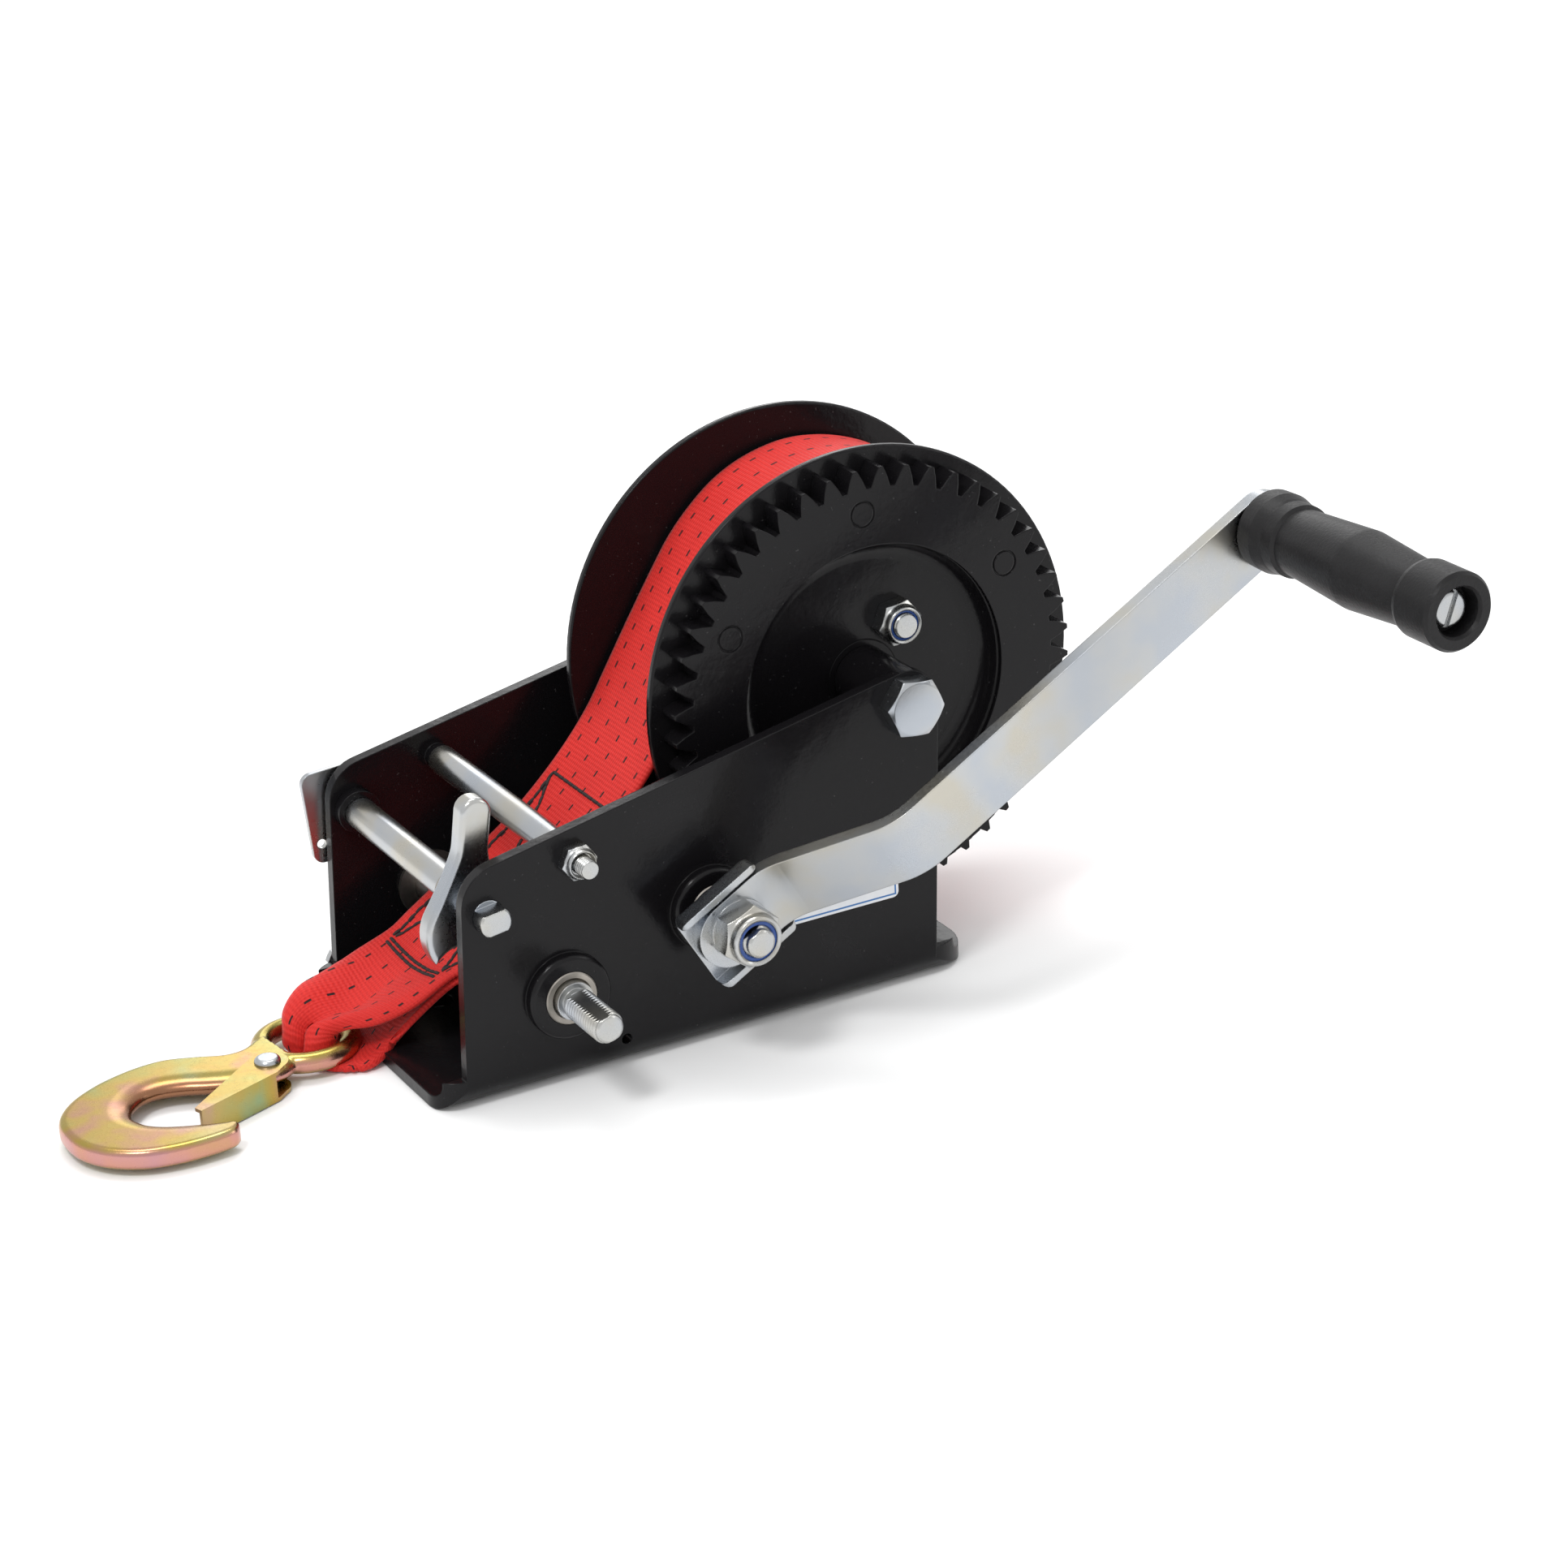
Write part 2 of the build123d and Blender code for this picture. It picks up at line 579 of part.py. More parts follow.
def grip_spindle():
    """The shouldered pin that the grip turns on, riveted into the arm, with a slotted head."""
    y_face = ARM_OUT_Y - ARM_THICKNESS / 2
    y_head = GRIP_START - GRIP_LENGTH + 7.0
    pin = rod(4.0, y_head - 0.1, ARM_OUT_Y + ARM_THICKNESS / 2 + 1.0, GRIP_X, GRIP_Z)
    shoulder = rod(6.4, GRIP_START + 0.3, y_face, GRIP_X, GRIP_Z)
    head = rod(5.6, y_head - 3.4, y_head, GRIP_X, GRIP_Z)
    head = fillet(head.faces().sort_by(Axis.Y)[0].edges(), 1.4)
    slot = slab(Pos(GRIP_X, GRIP_Z) * (Rot(0, 0, 70) * Rectangle(14, 1.5)), y_head - 5, y_head - 2.2)
    return pin + shoulder + head - slot


def grip_nut():
    y_seat = ARM_OUT_Y + ARM_THICKNESS / 2
    nut = turned(
        [(4.0, y_seat), (7.2, y_seat), (7.2, y_seat + 1.6), (5.6, y_seat + 3.6), (4.0, y_seat + 4.2)],
        GRIP_X,
        GRIP_Z,
    )
    return nut


def grip():
    """The turning grip: a collar, a neck, a barrel of two long cones, and an open end collar."""
    far = GRIP_START - GRIP_LENGTH
    outline = Polyline(
        (4.1, GRIP_START),
        (11.2, GRIP_START),
        (12.2, GRIP_START - 1.2),
        (12.4, GRIP_START - 7.0),
        (11.6, GRIP_START - 10.5),
        (11.3, GRIP_START - 11.5),
        (11.2, GRIP_START - 16.0),
        (10.2, GRIP_START - 17.0),
        (12.1, GRIP_START - 46.5),
        (12.1, GRIP_START - 47.5),
        (10.0, GRIP_START - 74.0),
        (11.4, GRIP_START - 75.0),
        (11.8, GRIP_START - 76.5),
        (11.8, far + 1.2),
        (10.9, far),
        (8.0, far),
        (7.3, far + 1.0),
        (7.3, far + 7.0),
        (4.1, far + 7.0),
        close=True,
    )
    body = revolve(make_face(outline), axis=Axis.Y)
    return Pos(GRIP_X, 0, GRIP_Z) * body


# ---------------------------------------------------------------- strap and hook
STRAP_ROUTE = [
    (50.1, 44.25),
    (67.5, 38.5),
    (99.1, 44.5),
    (125.0, 69.5),
    (132.5, 107.7),
    (114.2, 141.8),
    (82.8, 155.1),
    (54.9, 150.2),
    (35.8, 134.9),
    (24.5, 118.5),
    (11.5, 98.3),
    (-2.5, 75.5),
    (-28.0, 51.5),
    (-50.5, 38.6),
    (-70.0, 26.0),
    (-81.5, 18.2),
    (-89.5, 12.2),
]


def strap_tail():
    """The strap's last turn round the pack and its free length down to the hook's ring."""
    bends = []
    route = STRAP_ROUTE
    for before, at, after in zip(route, route[1:], route[2:]):
        run_in = sqrt((at[0] - before[0]) ** 2 + (at[1] - before[1]) ** 2)
        run_out = sqrt((after[0] - at[0]) ** 2 + (after[1] - at[1]) ** 2)
        first = atan2(at[1] - before[1], at[0] - before[0])
        second = atan2(after[1] - at[1], after[0] - at[0])
        turn = abs((second - first + pi) % (2 * pi) - pi)
        bends.append(0.45 * min(run_in, run_out) / tan(turn / 2))
    print("strap bend radii", [round(r) for r in bends])
    path = FilletPolyline(*route, radius=bends)
    band = make_face(offset(path, amount=STRAP_THICKNESS / 2, side=Side.BOTH))
    half = STRAP_WIDTH / 2
    return slab(band, STRAP_MIDDLE_Y - half, STRAP_MIDDLE_Y + half)


def hook_body():
    """A forged eye hook lying on its side: the C of the hook, its shank, and the eye's ring."""
    outside = Spline(
        (-147.6, -33.2),
        (-150.8, -37.4),
        (-158.5, -38.4),
        (-168.0, -38.0),
        (-178.0, -35.2),
        (-186.8, -28.5),
        (-192.0, -19.0),
        (-193.0, -8.0),
        (-190.8, 0.5),
        (-185.0, 8.0),
        (-176.5, 13.8),
        (-168.0, 17.2),
        (-159.5, 19.0),
        (-151.5, 18.8),
        (-143.0, 15.5),
        (-135.0, 11.6),
        (-127.5, 12.3),
        (-121.0, 19.4),
    )
    eye_side = Line((-121.0, 19.4), (-116.0, -4.6))
    inside = Spline(
        (-116.0, -4.6),
        (-121.5, -6.9),
        (-128.0, -8.4),
        (-134.0, -8.2),
        (-140.5, -6.0),
        (-147.0, -3.0),
        (-153.0, 0.2),
        (-159.0, 2.0),
        (-165.0, 0.6),
        (-169.6, -3.4),
        (-171.8, -9.0),
        (-170.6, -15.2),
        (-166.0, -20.6),
        (-158.0, -25.0),
        (-150.5, -29.2),
    )
    tip = Line((-150.5, -29.2), (-147.6, -33.2))
    outline = make_face(outside + eye_side + inside + tip)
    body = extrude(Pos(0, 0, HOOK_LOW) * outline, amount=HOOK_THICKNESS)
    middle = HOOK_LOW + HOOK_THICKNESS / 2
    body -= Pos(RING_X, RING_Y, middle) * Cylinder(RING_RADIUS - 1.5, 40)
    body += Pos(RING_X, RING_Y, middle) * Torus(RING_RADIUS, RING_WIRE)
    return body - Pos(LATCH_X, LATCH_Y, 0) * Cylinder(2.4, 60)


def latch_half(z):
    """One flange of the latch, round at the rivet and narrow at the end."""
    eye = Pos(LATCH_X, LATCH_Y) * Circle(6.2)
    flange = make_face(
        Polyline(
            (-122.4, -8.2),
            (-127.4, -12.6),
            (-155.4, -23.4),
            (-156.4, -20.6),
            (-140.8, -7.6),
            (-131.6, 0.1),
            close=True,
        )
    )
    sheet = flange + eye - Pos(LATCH_X, LATCH_Y) * Circle(2.45)
    return extrude(Pos(0, 0, z) * sheet, amount=LATCH_SHEET)


def hook_latch():
    """A stamped U-section latch whose web closes the hook's mouth from inside."""
    high = HOOK_LOW + HOOK_THICKNESS + LATCH_GAP
    low = HOOK_LOW - LATCH_GAP - LATCH_SHEET
    web = make_face(Polyline((-128.5, -11.9), (-155.8, -22.4), (-155.4, -23.4), (-128.1, -12.9), close=True))
    wall = extrude(Pos(0, 0, low) * web, amount=high + LATCH_SHEET - low)
    return latch_half(high) + latch_half(low) + wall


def latch_rivet():
    """A domed rivet through the latch and the hook's shank."""
    top = HOOK_LOW + HOOK_THICKNESS + LATCH_GAP + LATCH_SHEET
    shank = Pos(LATCH_X, LATCH_Y, 0.2) * extrude(Circle(2.4), amount=top - 0.2)
    dome = Pos(LATCH_X, LATCH_Y, top) * extrude(Circle(4.0), amount=1.5)
    dome = fillet(dome.faces().sort_by(Axis.Z)[-1].edges(), 1.4)
    return shank + dome


def latch_spring():
    """A small bent-wire spring inside the latch, from the shank to the web."""
    middle = HOOK_LOW + HOOK_THICKNESS / 2
    path = FilletPolyline(
        (-132.5, -9.6, middle),
        (-138.0, -12.6, middle),
        (-143.0, -13.2, middle),
        (-148.0, -17.6, middle),
        radius=1.6,
    )
    ring = Plane(origin=path @ 0, z_dir=path % 0) * Circle(0.55)
    return sweep(ring, path=path)


def label_plate():
    """A blank sticker on the near wall, part of it behind the arm."""
    sheet = RectangleRounded(47.2, 16.8, 2.0)
    return slab(Pos(39.6, 38.7) * sheet, -WALL_OUT - 0.25, -WALL_OUT)


# ---------------------------------------------------------------- write the pieces
def write_frame():
    save("frame_bracket", frame_bracket())
    for name, x, z in (("crank_shaft", CRANK_X, CRANK_Z), ("lay_shaft", LAY_X, LAY_Z)):
        save(f"{name}_bushing_near", bushing(-1, x, z))
        save(f"{name}_bushing_far", bushing(1, x, z))
    save("drum_axle_bolt", drum_axle_bolt())
    save("drum_axle_nut", lock_nut(17.0, 10.0, AXLE_RADIUS, WALL_OUT, 1, DRUM_X, DRUM_Z, 10.0))
    save("drum_axle_nut_insert", lock_insert(17.0, 10.0, AXLE_RADIUS, WALL_OUT, 1, DRUM_X, DRUM_Z))
    save("drum_spacer_near", tube(HUB_RADIUS, AXLE_RADIUS, -WALL_IN, FLANGE_NEAR_OUT - 0.3, DRUM_X, DRUM_Z))
    save("drum_spacer_far", tube(HUB_RADIUS, AXLE_RADIUS, FLANGE_FAR_OUT + 0.3, WALL_IN, DRUM_X, DRUM_Z))
    save("spacer_tube", tube(ROD_RADIUS, 3.0, -WALL_IN, WALL_IN - ROD_STOP, ROD_X, ROD_Z))
    save("spacer_bolt", spacer_bolt())
    save("spacer_nut", lock_nut(10.0, 6.0, 3.0, -WALL_OUT, -1, ROD_X, ROD_Z, 5.0))
    save("pawl_shaft_collar", tube(6.9, PAWL_SHAFT_RADIUS + 0.1, WALL_IN - 4.0, WALL_IN, PAWL_X, PAWL_Z))
    stud = rod(2.0, WALL_OUT - 4.0, WALL_OUT + 3.0, STUD_X, STUD_Z)
    save("wall_stud", stud + bolt_head(6.0, 2.4, WALL_OUT + 0.6, 1, STUD_X, STUD_Z))
    save("label_plate", label_plate())
    save("strap_tail", strap_tail())


def write_drum():
    save("drum_core", drum_core())
    save("drum_flange_near", dished_flange())
    save("drum_flange_far", drum_flange(FLANGE_FAR_OUT - FLANGE))
    save("drum_gear", drum_gear())
    low = FLANGE_NEAR_OUT + FLANGE
    high = FLANGE_FAR_OUT - FLANGE
    save("strap_anchor_sleeve", tube(6.6, 4.0, low, high, ANCHOR_X, ANCHOR_Z))
    save("strap_anchor_bolt", strap_anchor_bolt())
    save("strap_anchor_nut", lock_nut(13.0, 8.0, 4.0, FLANGE_NEAR_OUT, -1, ANCHOR_X, ANCHOR_Z, 8.0))
    save("strap_anchor_nut_insert", lock_insert(13.0, 8.0, 4.0, FLANGE_NEAR_OUT, -1, ANCHOR_X, ANCHOR_Z))
    save("strap_pack", strap_pack())


def write_shafts():
    pinion_tooth = meshed_tooth(DRUM_TEETH, DRUM_TOOTH_ANGLE, MESH_1_ANGLE, CRANK_PINION_TEETH)
    reduction_tooth = 5.0
    lay_tooth = meshed_tooth(REDUCTION_TEETH, reduction_tooth, MESH_2_ANGLE, LAY_PINION_TEETH)
    save("crank_shaft", journal(CRANK_X, CRANK_Z) + shaft_end(CRANK_SHAFT_END, CRANK_X, CRANK_Z, ARM_ANGLE))
    save(
        "crank_pinion",
        spur_gear(CRANK_PINION_TEETH, pinion_tooth, JOURNAL_RADIUS, CRANK_PINION_Y, CRANK_X, CRANK_Z),
    )
    save("reduction_gear", reduction_gear(reduction_tooth))
    save("crank_shaft_ring", shaft_ring(CRANK_X, CRANK_Z))
    save("lay_shaft", journal(LAY_X, LAY_Z) + shaft_end(LAY_SHAFT_END, LAY_X, LAY_Z, 17.0))
    save("lay_pinion", spur_gear(LAY_PINION_TEETH, lay_tooth, JOURNAL_RADIUS, REDUCTION_Y, LAY_X, LAY_Z))
    save("ratchet_wheel", ratchet_wheel())
    save("lay_shaft_ring", shaft_ring(LAY_X, LAY_Z))


def write_crank():
    save("crank_bracket", crank_bracket())
    save("crank_sleeve", crank_sleeve())
    save("crank_arm", crank_arm())
    save("crank_washer", crank_washer())
    seat = ARM_IN_Y - ARM_THICKNESS / 2 - 1.4
    save("crank_nut", lock_nut(17.0, 11.0, THREAD_RADIUS, seat, -1, CRANK_X, CRANK_Z, 22.0))
    save("crank_nut_insert", lock_insert(17.0, 11.0, THREAD_RADIUS, seat, -1, CRANK_X, CRANK_Z))
    save("grip_spindle", grip_spindle())
    save("grip_nut", grip_nut())
    save("grip", grip())


def write_pawl_and_hook():
    save("pawl_shaft", pawl_shaft())
    save("pawl", pawl())
    save("pawl_spring", pawl_spring())
    save("pawl_lever", pawl_lever())
    y0 = WALL_OUT + 3.5
    save("pawl_shaft_ring", tube(6.6, PAWL_SHAFT_RADIUS, y0, y0 + 1.0, PAWL_X, PAWL_Z))
    save("hook_body", hook_body())
    save("hook_latch", hook_latch())
    save("latch_rivet", latch_rivet())
    save("latch_spring", latch_spring())


write_frame()
write_drum()
write_shafts()
write_crank()
write_pawl_and_hook()
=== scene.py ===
import json
import math
import random

import bmesh
import bpy
from mathutils import Matrix, Vector

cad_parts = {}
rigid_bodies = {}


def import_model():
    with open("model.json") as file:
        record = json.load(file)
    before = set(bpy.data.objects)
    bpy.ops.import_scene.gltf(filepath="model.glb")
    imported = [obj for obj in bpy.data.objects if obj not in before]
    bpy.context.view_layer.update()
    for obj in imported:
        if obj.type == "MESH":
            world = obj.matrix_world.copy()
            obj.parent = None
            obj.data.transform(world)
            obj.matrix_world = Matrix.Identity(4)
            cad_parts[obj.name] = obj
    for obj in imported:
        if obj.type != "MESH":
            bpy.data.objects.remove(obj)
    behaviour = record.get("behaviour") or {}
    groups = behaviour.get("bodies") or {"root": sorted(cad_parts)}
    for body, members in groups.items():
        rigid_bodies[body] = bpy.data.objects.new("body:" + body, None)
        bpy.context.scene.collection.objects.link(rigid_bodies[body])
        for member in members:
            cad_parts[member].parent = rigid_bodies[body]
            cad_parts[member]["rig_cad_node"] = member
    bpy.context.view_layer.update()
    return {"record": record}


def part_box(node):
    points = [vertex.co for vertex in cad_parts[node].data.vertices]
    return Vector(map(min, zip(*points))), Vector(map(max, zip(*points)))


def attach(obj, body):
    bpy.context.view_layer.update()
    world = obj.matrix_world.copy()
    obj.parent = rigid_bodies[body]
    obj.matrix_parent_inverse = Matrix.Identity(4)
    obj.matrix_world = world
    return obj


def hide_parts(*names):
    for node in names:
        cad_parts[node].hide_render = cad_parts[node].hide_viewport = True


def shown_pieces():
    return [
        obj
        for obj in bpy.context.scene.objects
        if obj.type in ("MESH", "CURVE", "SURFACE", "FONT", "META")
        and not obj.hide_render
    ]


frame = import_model()
random.seed(7)

# ---------------------------------------------------------------- camera, floor and light
YAW = math.radians(27.42)
PITCH = math.radians(22.55)
ROLL = math.radians(-3.39)
CAMERA_PLACE = (-0.47269, -1.01263, 0.52623)
LENS = 90.74
SENSOR_WIDTH = 36

FLOOR_REACH = 8.0
FLOOR_Z = -0.0004
FLOOR_TONE = 0.93
WORLD_STRENGTH = 0.95

# Each light: its name, its place, what it aims at, its width and height, and its power.
LIGHTS = [
    ("key", (-0.8, -0.5, 1.5), (0, 0, 0.05), (0.36, 0.36), 9),
    ("top", (0.1, 0.5, 1.6), (0, 0, 0.05), (0.9, 0.5), 8),
    ("rim", (0.75, 1.45, 0.80), (0, 0, 0.08), (0.9, 0.45), 3.2),
    ("side", (1.4, -0.8, 0.8), (0, 0, 0.08), (0.4, 0.8), 3),
]


def add_camera():
    forward = Vector((math.sin(YAW) * math.cos(PITCH), math.cos(YAW) * math.cos(PITCH), -math.sin(PITCH)))
    level = Vector((math.cos(YAW), -math.sin(YAW), 0))
    upright = level.cross(forward)
    right = math.cos(ROLL) * level + math.sin(ROLL) * upright
    up = -math.sin(ROLL) * level + math.cos(ROLL) * upright
    data = bpy.data.cameras.new("camera")
    data.lens = LENS
    data.sensor_width = SENSOR_WIDTH
    data.clip_start = 0.01
    data.clip_end = 50
    cam = bpy.data.objects.new("camera", data)
    turn = Matrix((right, up, -forward)).transposed().to_4x4()
    cam.matrix_world = Matrix.Translation(CAMERA_PLACE) @ turn
    bpy.context.collection.objects.link(cam)
    bpy.context.scene.camera = cam


def add_area(name, place, target, size, power):
    data = bpy.data.lights.new(name, "AREA")
    data.shape = "RECTANGLE"
    data.size, data.size_y = size
    data.energy = power
    lamp = bpy.data.objects.new(name, data)
    lamp.location = place
    aim = Vector(target) - Vector(place)
    lamp.rotation_mode = "QUATERNION"
    lamp.rotation_quaternion = aim.to_track_quat("-Z", "Y")
    bpy.context.collection.objects.link(lamp)


def floor_pale():
    pale = bpy.data.materials.new("floor_pale")
    pale.use_nodes = True
    shader = pale.node_tree.nodes["Principled BSDF"]
    shader.inputs["Base Color"].default_value = (FLOOR_TONE, FLOOR_TONE, FLOOR_TONE, 1)
    shader.inputs["Roughness"].default_value = 0.9
    shader.inputs["Specular IOR Level"].default_value = 0.1
    return pale


def add_floor():
    mesh = bpy.data.meshes.new("floor")
    signs = [(-1, -1), (1, -1), (1, 1), (-1, 1)]
    corners = [(a * FLOOR_REACH, b * FLOOR_REACH, FLOOR_Z) for a, b in signs]
    mesh.from_pydata(corners, [], [(0, 1, 2, 3)])
    mesh.materials.append(floor_pale())
    floor = bpy.data.objects.new("floor", mesh)
    bpy.context.collection.objects.link(floor)


def add_stage():
    add_floor()
    world = bpy.data.worlds.new("studio")
    world.use_nodes = True
    background = world.node_tree.nodes["Background"]
    background.inputs["Color"].default_value = (1, 1, 1, 1)
    background.inputs["Strength"].default_value = WORLD_STRENGTH
    bpy.context.scene.world = world
    for light in LIGHTS:
        add_area(*light)
    bpy.context.scene.view_settings.view_transform = "Standard"


# ---------------------------------------------------------------- sizes of the strap
STRAP_MIDDLE_Y = 0.0045
STRAP_HALF = 0.0245
STRAP_THICKNESS = 0.0022

# The weave: the pitch of its cross ribs, warp columns and twill.
RIB_PITCH = 0.00145
COLUMN_PITCH = 0.0011
TWILL_PITCH = 0.0022

# The tracer ticks: rows across the strap, and ticks along each row.
EDGE_TO_ROW = 0.0064
ROW_PITCH = 0.0096
TICK_PITCH = 0.0064
ROW_STAGGER = 0.36


# ---------------------------------------------------------------- materials
class Graph:
    """A small helper that adds nodes to one material's tree."""

    def __init__(self, name):
        self.material = bpy.data.materials.new(name)
        self.material.use_nodes = True
        self.tree = self.material.node_tree
        self.shader = self.tree.nodes["Principled BSDF"]

    def add(self, kind, **inputs):
        node = self.tree.nodes.new(kind)
        for key, value in inputs.items():
            self.put(node.inputs[key.replace("_", " ")], value)
        return node

    def put(self, socket, value):
        if isinstance(value, bpy.types.NodeSocket):
            self.tree.links.new(value, socket)
        else:
            socket.default_value = value

    def math(self, what, a, b=0.0):
        node = self.tree.nodes.new("ShaderNodeMath")
        node.operation = what
        self.put(node.inputs[0], a)
        self.put(node.inputs[1], b)
        return node.outputs[0]

    def mix(self, factor, a, b):
        node = self.tree.nodes.new("ShaderNodeMix")
        node.data_type = "RGBA"
        self.put(node.inputs["Factor"], factor)
        colours = [s for s in node.inputs if s.type == "RGBA"]
        self.put(colours[0], a)
        self.put(colours[1], b)
        return next(s for s in node.outputs if s.type == "RGBA")

    def place(self):
        return self.add("ShaderNodeTexCoord").outputs["Object"]

    def noise(self, scale, detail=3.0, roughness=0.5):
        node = self.add("ShaderNodeTexNoise", Scale=scale, Detail=detail, Roughness=roughness)
        self.put(node.inputs["Vector"], self.place())
        return node.outputs["Fac"]

    def wave(self, value, pitch):
        return self.math("SINE", self.math("MULTIPLY", value, math.tau / pitch))

    def attribute(self, name):
        node = self.add("ShaderNodeAttribute")
        node.attribute_name = name
        return node.outputs["Fac"]

    def ramp(self, factor, *stops):
        node = self.tree.nodes.new("ShaderNodeValToRGB")
        ends = node.color_ramp.elements
        while len(ends) < len(stops):
            ends.new(0.5)
        for end, (at, colour) in zip(ends, stops):
            end.position = at
            end.color = (*colour, 1)
        self.put(node.inputs["Fac"], factor)
        return node.outputs["Color"]

    def span(self, value, low, high, to_low=0.0, to_high=1.0):
        node = self.tree.nodes.new("ShaderNodeMapRange")
        self.put(node.inputs["Value"], value)
        self.put(node.inputs["From Min"], low)
        self.put(node.inputs["From Max"], high)
        self.put(node.inputs["To Min"], to_low)
        self.put(node.inputs["To Max"], to_high)
        return node.outputs[0]

    def bump(self, height, strength, distance, after=None):
        node = self.add("ShaderNodeBump", Strength=strength, Distance=distance, Height=height)
        if after is not None:
            self.put(node.inputs["Normal"], after)
        return node.outputs["Normal"]

    def soft_edges(self, radius):
        """Normals that round the sharp edges off a little, so that they catch the light."""
        node = self.add("ShaderNodeBevel", Radius=radius)
        node.samples = 6
        return node.outputs["Normal"]

    def set(self, **inputs):
        for key, value in inputs.items():
            self.put(self.shader.inputs[key.replace("_", " ")], value)
        return self.material


def black_coat():
    """Gloss black powder coat: orange peel, and faint dust and rub marks."""
    g = Graph("black_coat")
    coat = (0.0058, 0.0054, 0.0062, 1)
    rubbed = (0.04, 0.038, 0.04, 1)
    dust = (0.12, 0.12, 0.12, 1)
    peel = g.noise(520, 2.0)
    waves = g.noise(90, 1.0)
    rub = g.noise(26, 5.0, roughness=0.62)
    specks = g.span(g.noise(900, 1.0), 0.74, 0.80)
    marks = g.span(rub, 0.60, 0.78)
    colour = g.mix(g.math("MULTIPLY", marks, 0.10), coat, rubbed)
    colour = g.mix(g.math("MULTIPLY", specks, 0.25), colour, dust)
    rough = g.math("ADD", g.math("MULTIPLY", rub, 0.14), g.math("MULTIPLY", marks, 0.10))
    wavy = g.bump(waves, 0.20, 0.0010, g.soft_edges(0.0006))
    normal = g.bump(peel, 0.16, 0.0003, wavy)
    g.set(Base_Color=colour, Roughness=g.math("ADD", rough, 0.13), Normal=normal)
    return g.set(IOR=1.5, Specular_IOR_Level=0.20)


def bright_zinc():
    """Bright zinc plate: a clouded yellow and blue cast, fine spangle and a few rub marks."""
    g = Graph("bright_zinc")
    clean = (0.46, 0.47, 0.48, 1)
    dulled = (0.33, 0.34, 0.35, 1)
    cloud = g.noise(42, 3.0)
    drift = g.noise(17, 2.0)
    grain = g.noise(750, 3.0, roughness=0.7)
    cast = g.ramp(
        cloud,
        (0.36, (0.40, 0.44, 0.50)),
        (0.50, (0.47, 0.48, 0.48)),
        (0.64, (0.50, 0.46, 0.36)),
    )
    colour = g.mix(0.6, clean, cast)
    dull = g.span(drift, 0.40, 0.70)
    colour = g.mix(g.math("MULTIPLY", dull, 0.30), colour, dulled)
    rough = g.math("ADD", g.math("MULTIPLY", grain, 0.10), g.math("MULTIPLY", dull, 0.09))
    normal = g.bump(grain, 0.06, 0.0002, g.soft_edges(0.0005))
    return g.set(Base_Color=colour, Metallic=1.0, Roughness=g.math("ADD", rough, 0.20), Normal=normal)


def yellow_zinc(name, by_zone):
    """Yellow chromate zinc: olive yellow with green and pink clouds.

    By zone, its sides are pinker and the bowl's inside is browner.
    """
    g = Graph(name)
    pale = (0.44, 0.46, 0.36, 1)
    brown = (0.30, 0.145, 0.08, 1)
    cloud = g.noise(55, 2.5)
    other = g.noise(31, 2.0)
    fine = g.noise(600, 3.0, roughness=0.7)
    top = g.ramp(
        cloud,
        (0.30, (0.26, 0.34, 0.18)),
        (0.44, (0.37, 0.31, 0.085)),
        (0.56, (0.42, 0.29, 0.07)),
        (0.70, (0.42, 0.22, 0.15)),
    )
    colour = g.mix(g.span(other, 0.55, 0.75, 0.0, 0.3), top, pale)
    if by_zone:
        pink = g.ramp(
            cloud,
            (0.35, (0.50, 0.30, 0.12)),
            (0.52, (0.55, 0.27, 0.21)),
            (0.70, (0.50, 0.26, 0.27)),
        )
        colour = g.mix(g.attribute("side"), colour, pink)
        colour = g.mix(g.attribute("bore"), colour, brown)
    normal = g.bump(fine, 0.05, 0.0002)
    rough = g.math("ADD", g.math("MULTIPLY", fine, 0.12), 0.20)
    return g.set(Base_Color=colour, Metallic=1.0, Roughness=rough, Normal=normal)


def plain_steel():
    """Bare sintered or turned steel: brown-grey, clouded and finely pored."""
    g = Graph("plain_steel")
    steel = (0.42, 0.39, 0.35)
    darker = tuple(0.55 * c for c in steel)
    pores = g.noise(1500, 2.0)
    cloud = g.noise(80, 3.0)
    colour = g.mix(g.span(cloud, 0.35, 0.7), (*steel, 1), (*darker, 1))
    rough = g.math("ADD", g.math("MULTIPLY", pores, 0.2), 0.32)
    normal = g.bump(pores, 0.25, 0.0002)
    return g.set(Base_Color=colour, Metallic=1.0, Roughness=rough, Normal=normal)


def grip_plastic():
    """Satin black moulded plastic with a fine pebbled skin."""
    g = Graph("grip_plastic")
    pebble = g.noise(1100, 2.0)
    cloud = g.noise(60, 3.0)
    colour = g.mix(g.span(cloud, 0.4, 0.7), (0.0065, 0.0062, 0.0068, 1), (0.012, 0.0115, 0.0125, 1))
    rough = g.math("ADD", g.math("MULTIPLY", pebble, 0.16), 0.36)
    g.set(Base_Color=colour, Roughness=rough, Normal=g.bump(pebble, 0.35, 0.00025))
    return g.set(IOR=1.5, Specular_IOR_Level=0.26)


def blue_nylon():
    """The nylon inserts of the lock nuts."""
    g = Graph("blue_nylon")
    cloud = g.noise(700, 2.0)
    colour = g.mix(cloud, (0.012, 0.045, 0.20, 1), (0.03, 0.09, 0.34, 1))
    return g.set(Base_Color=colour, Roughness=g.math("ADD", g.math("MULTIPLY", cloud, 0.2), 0.3))


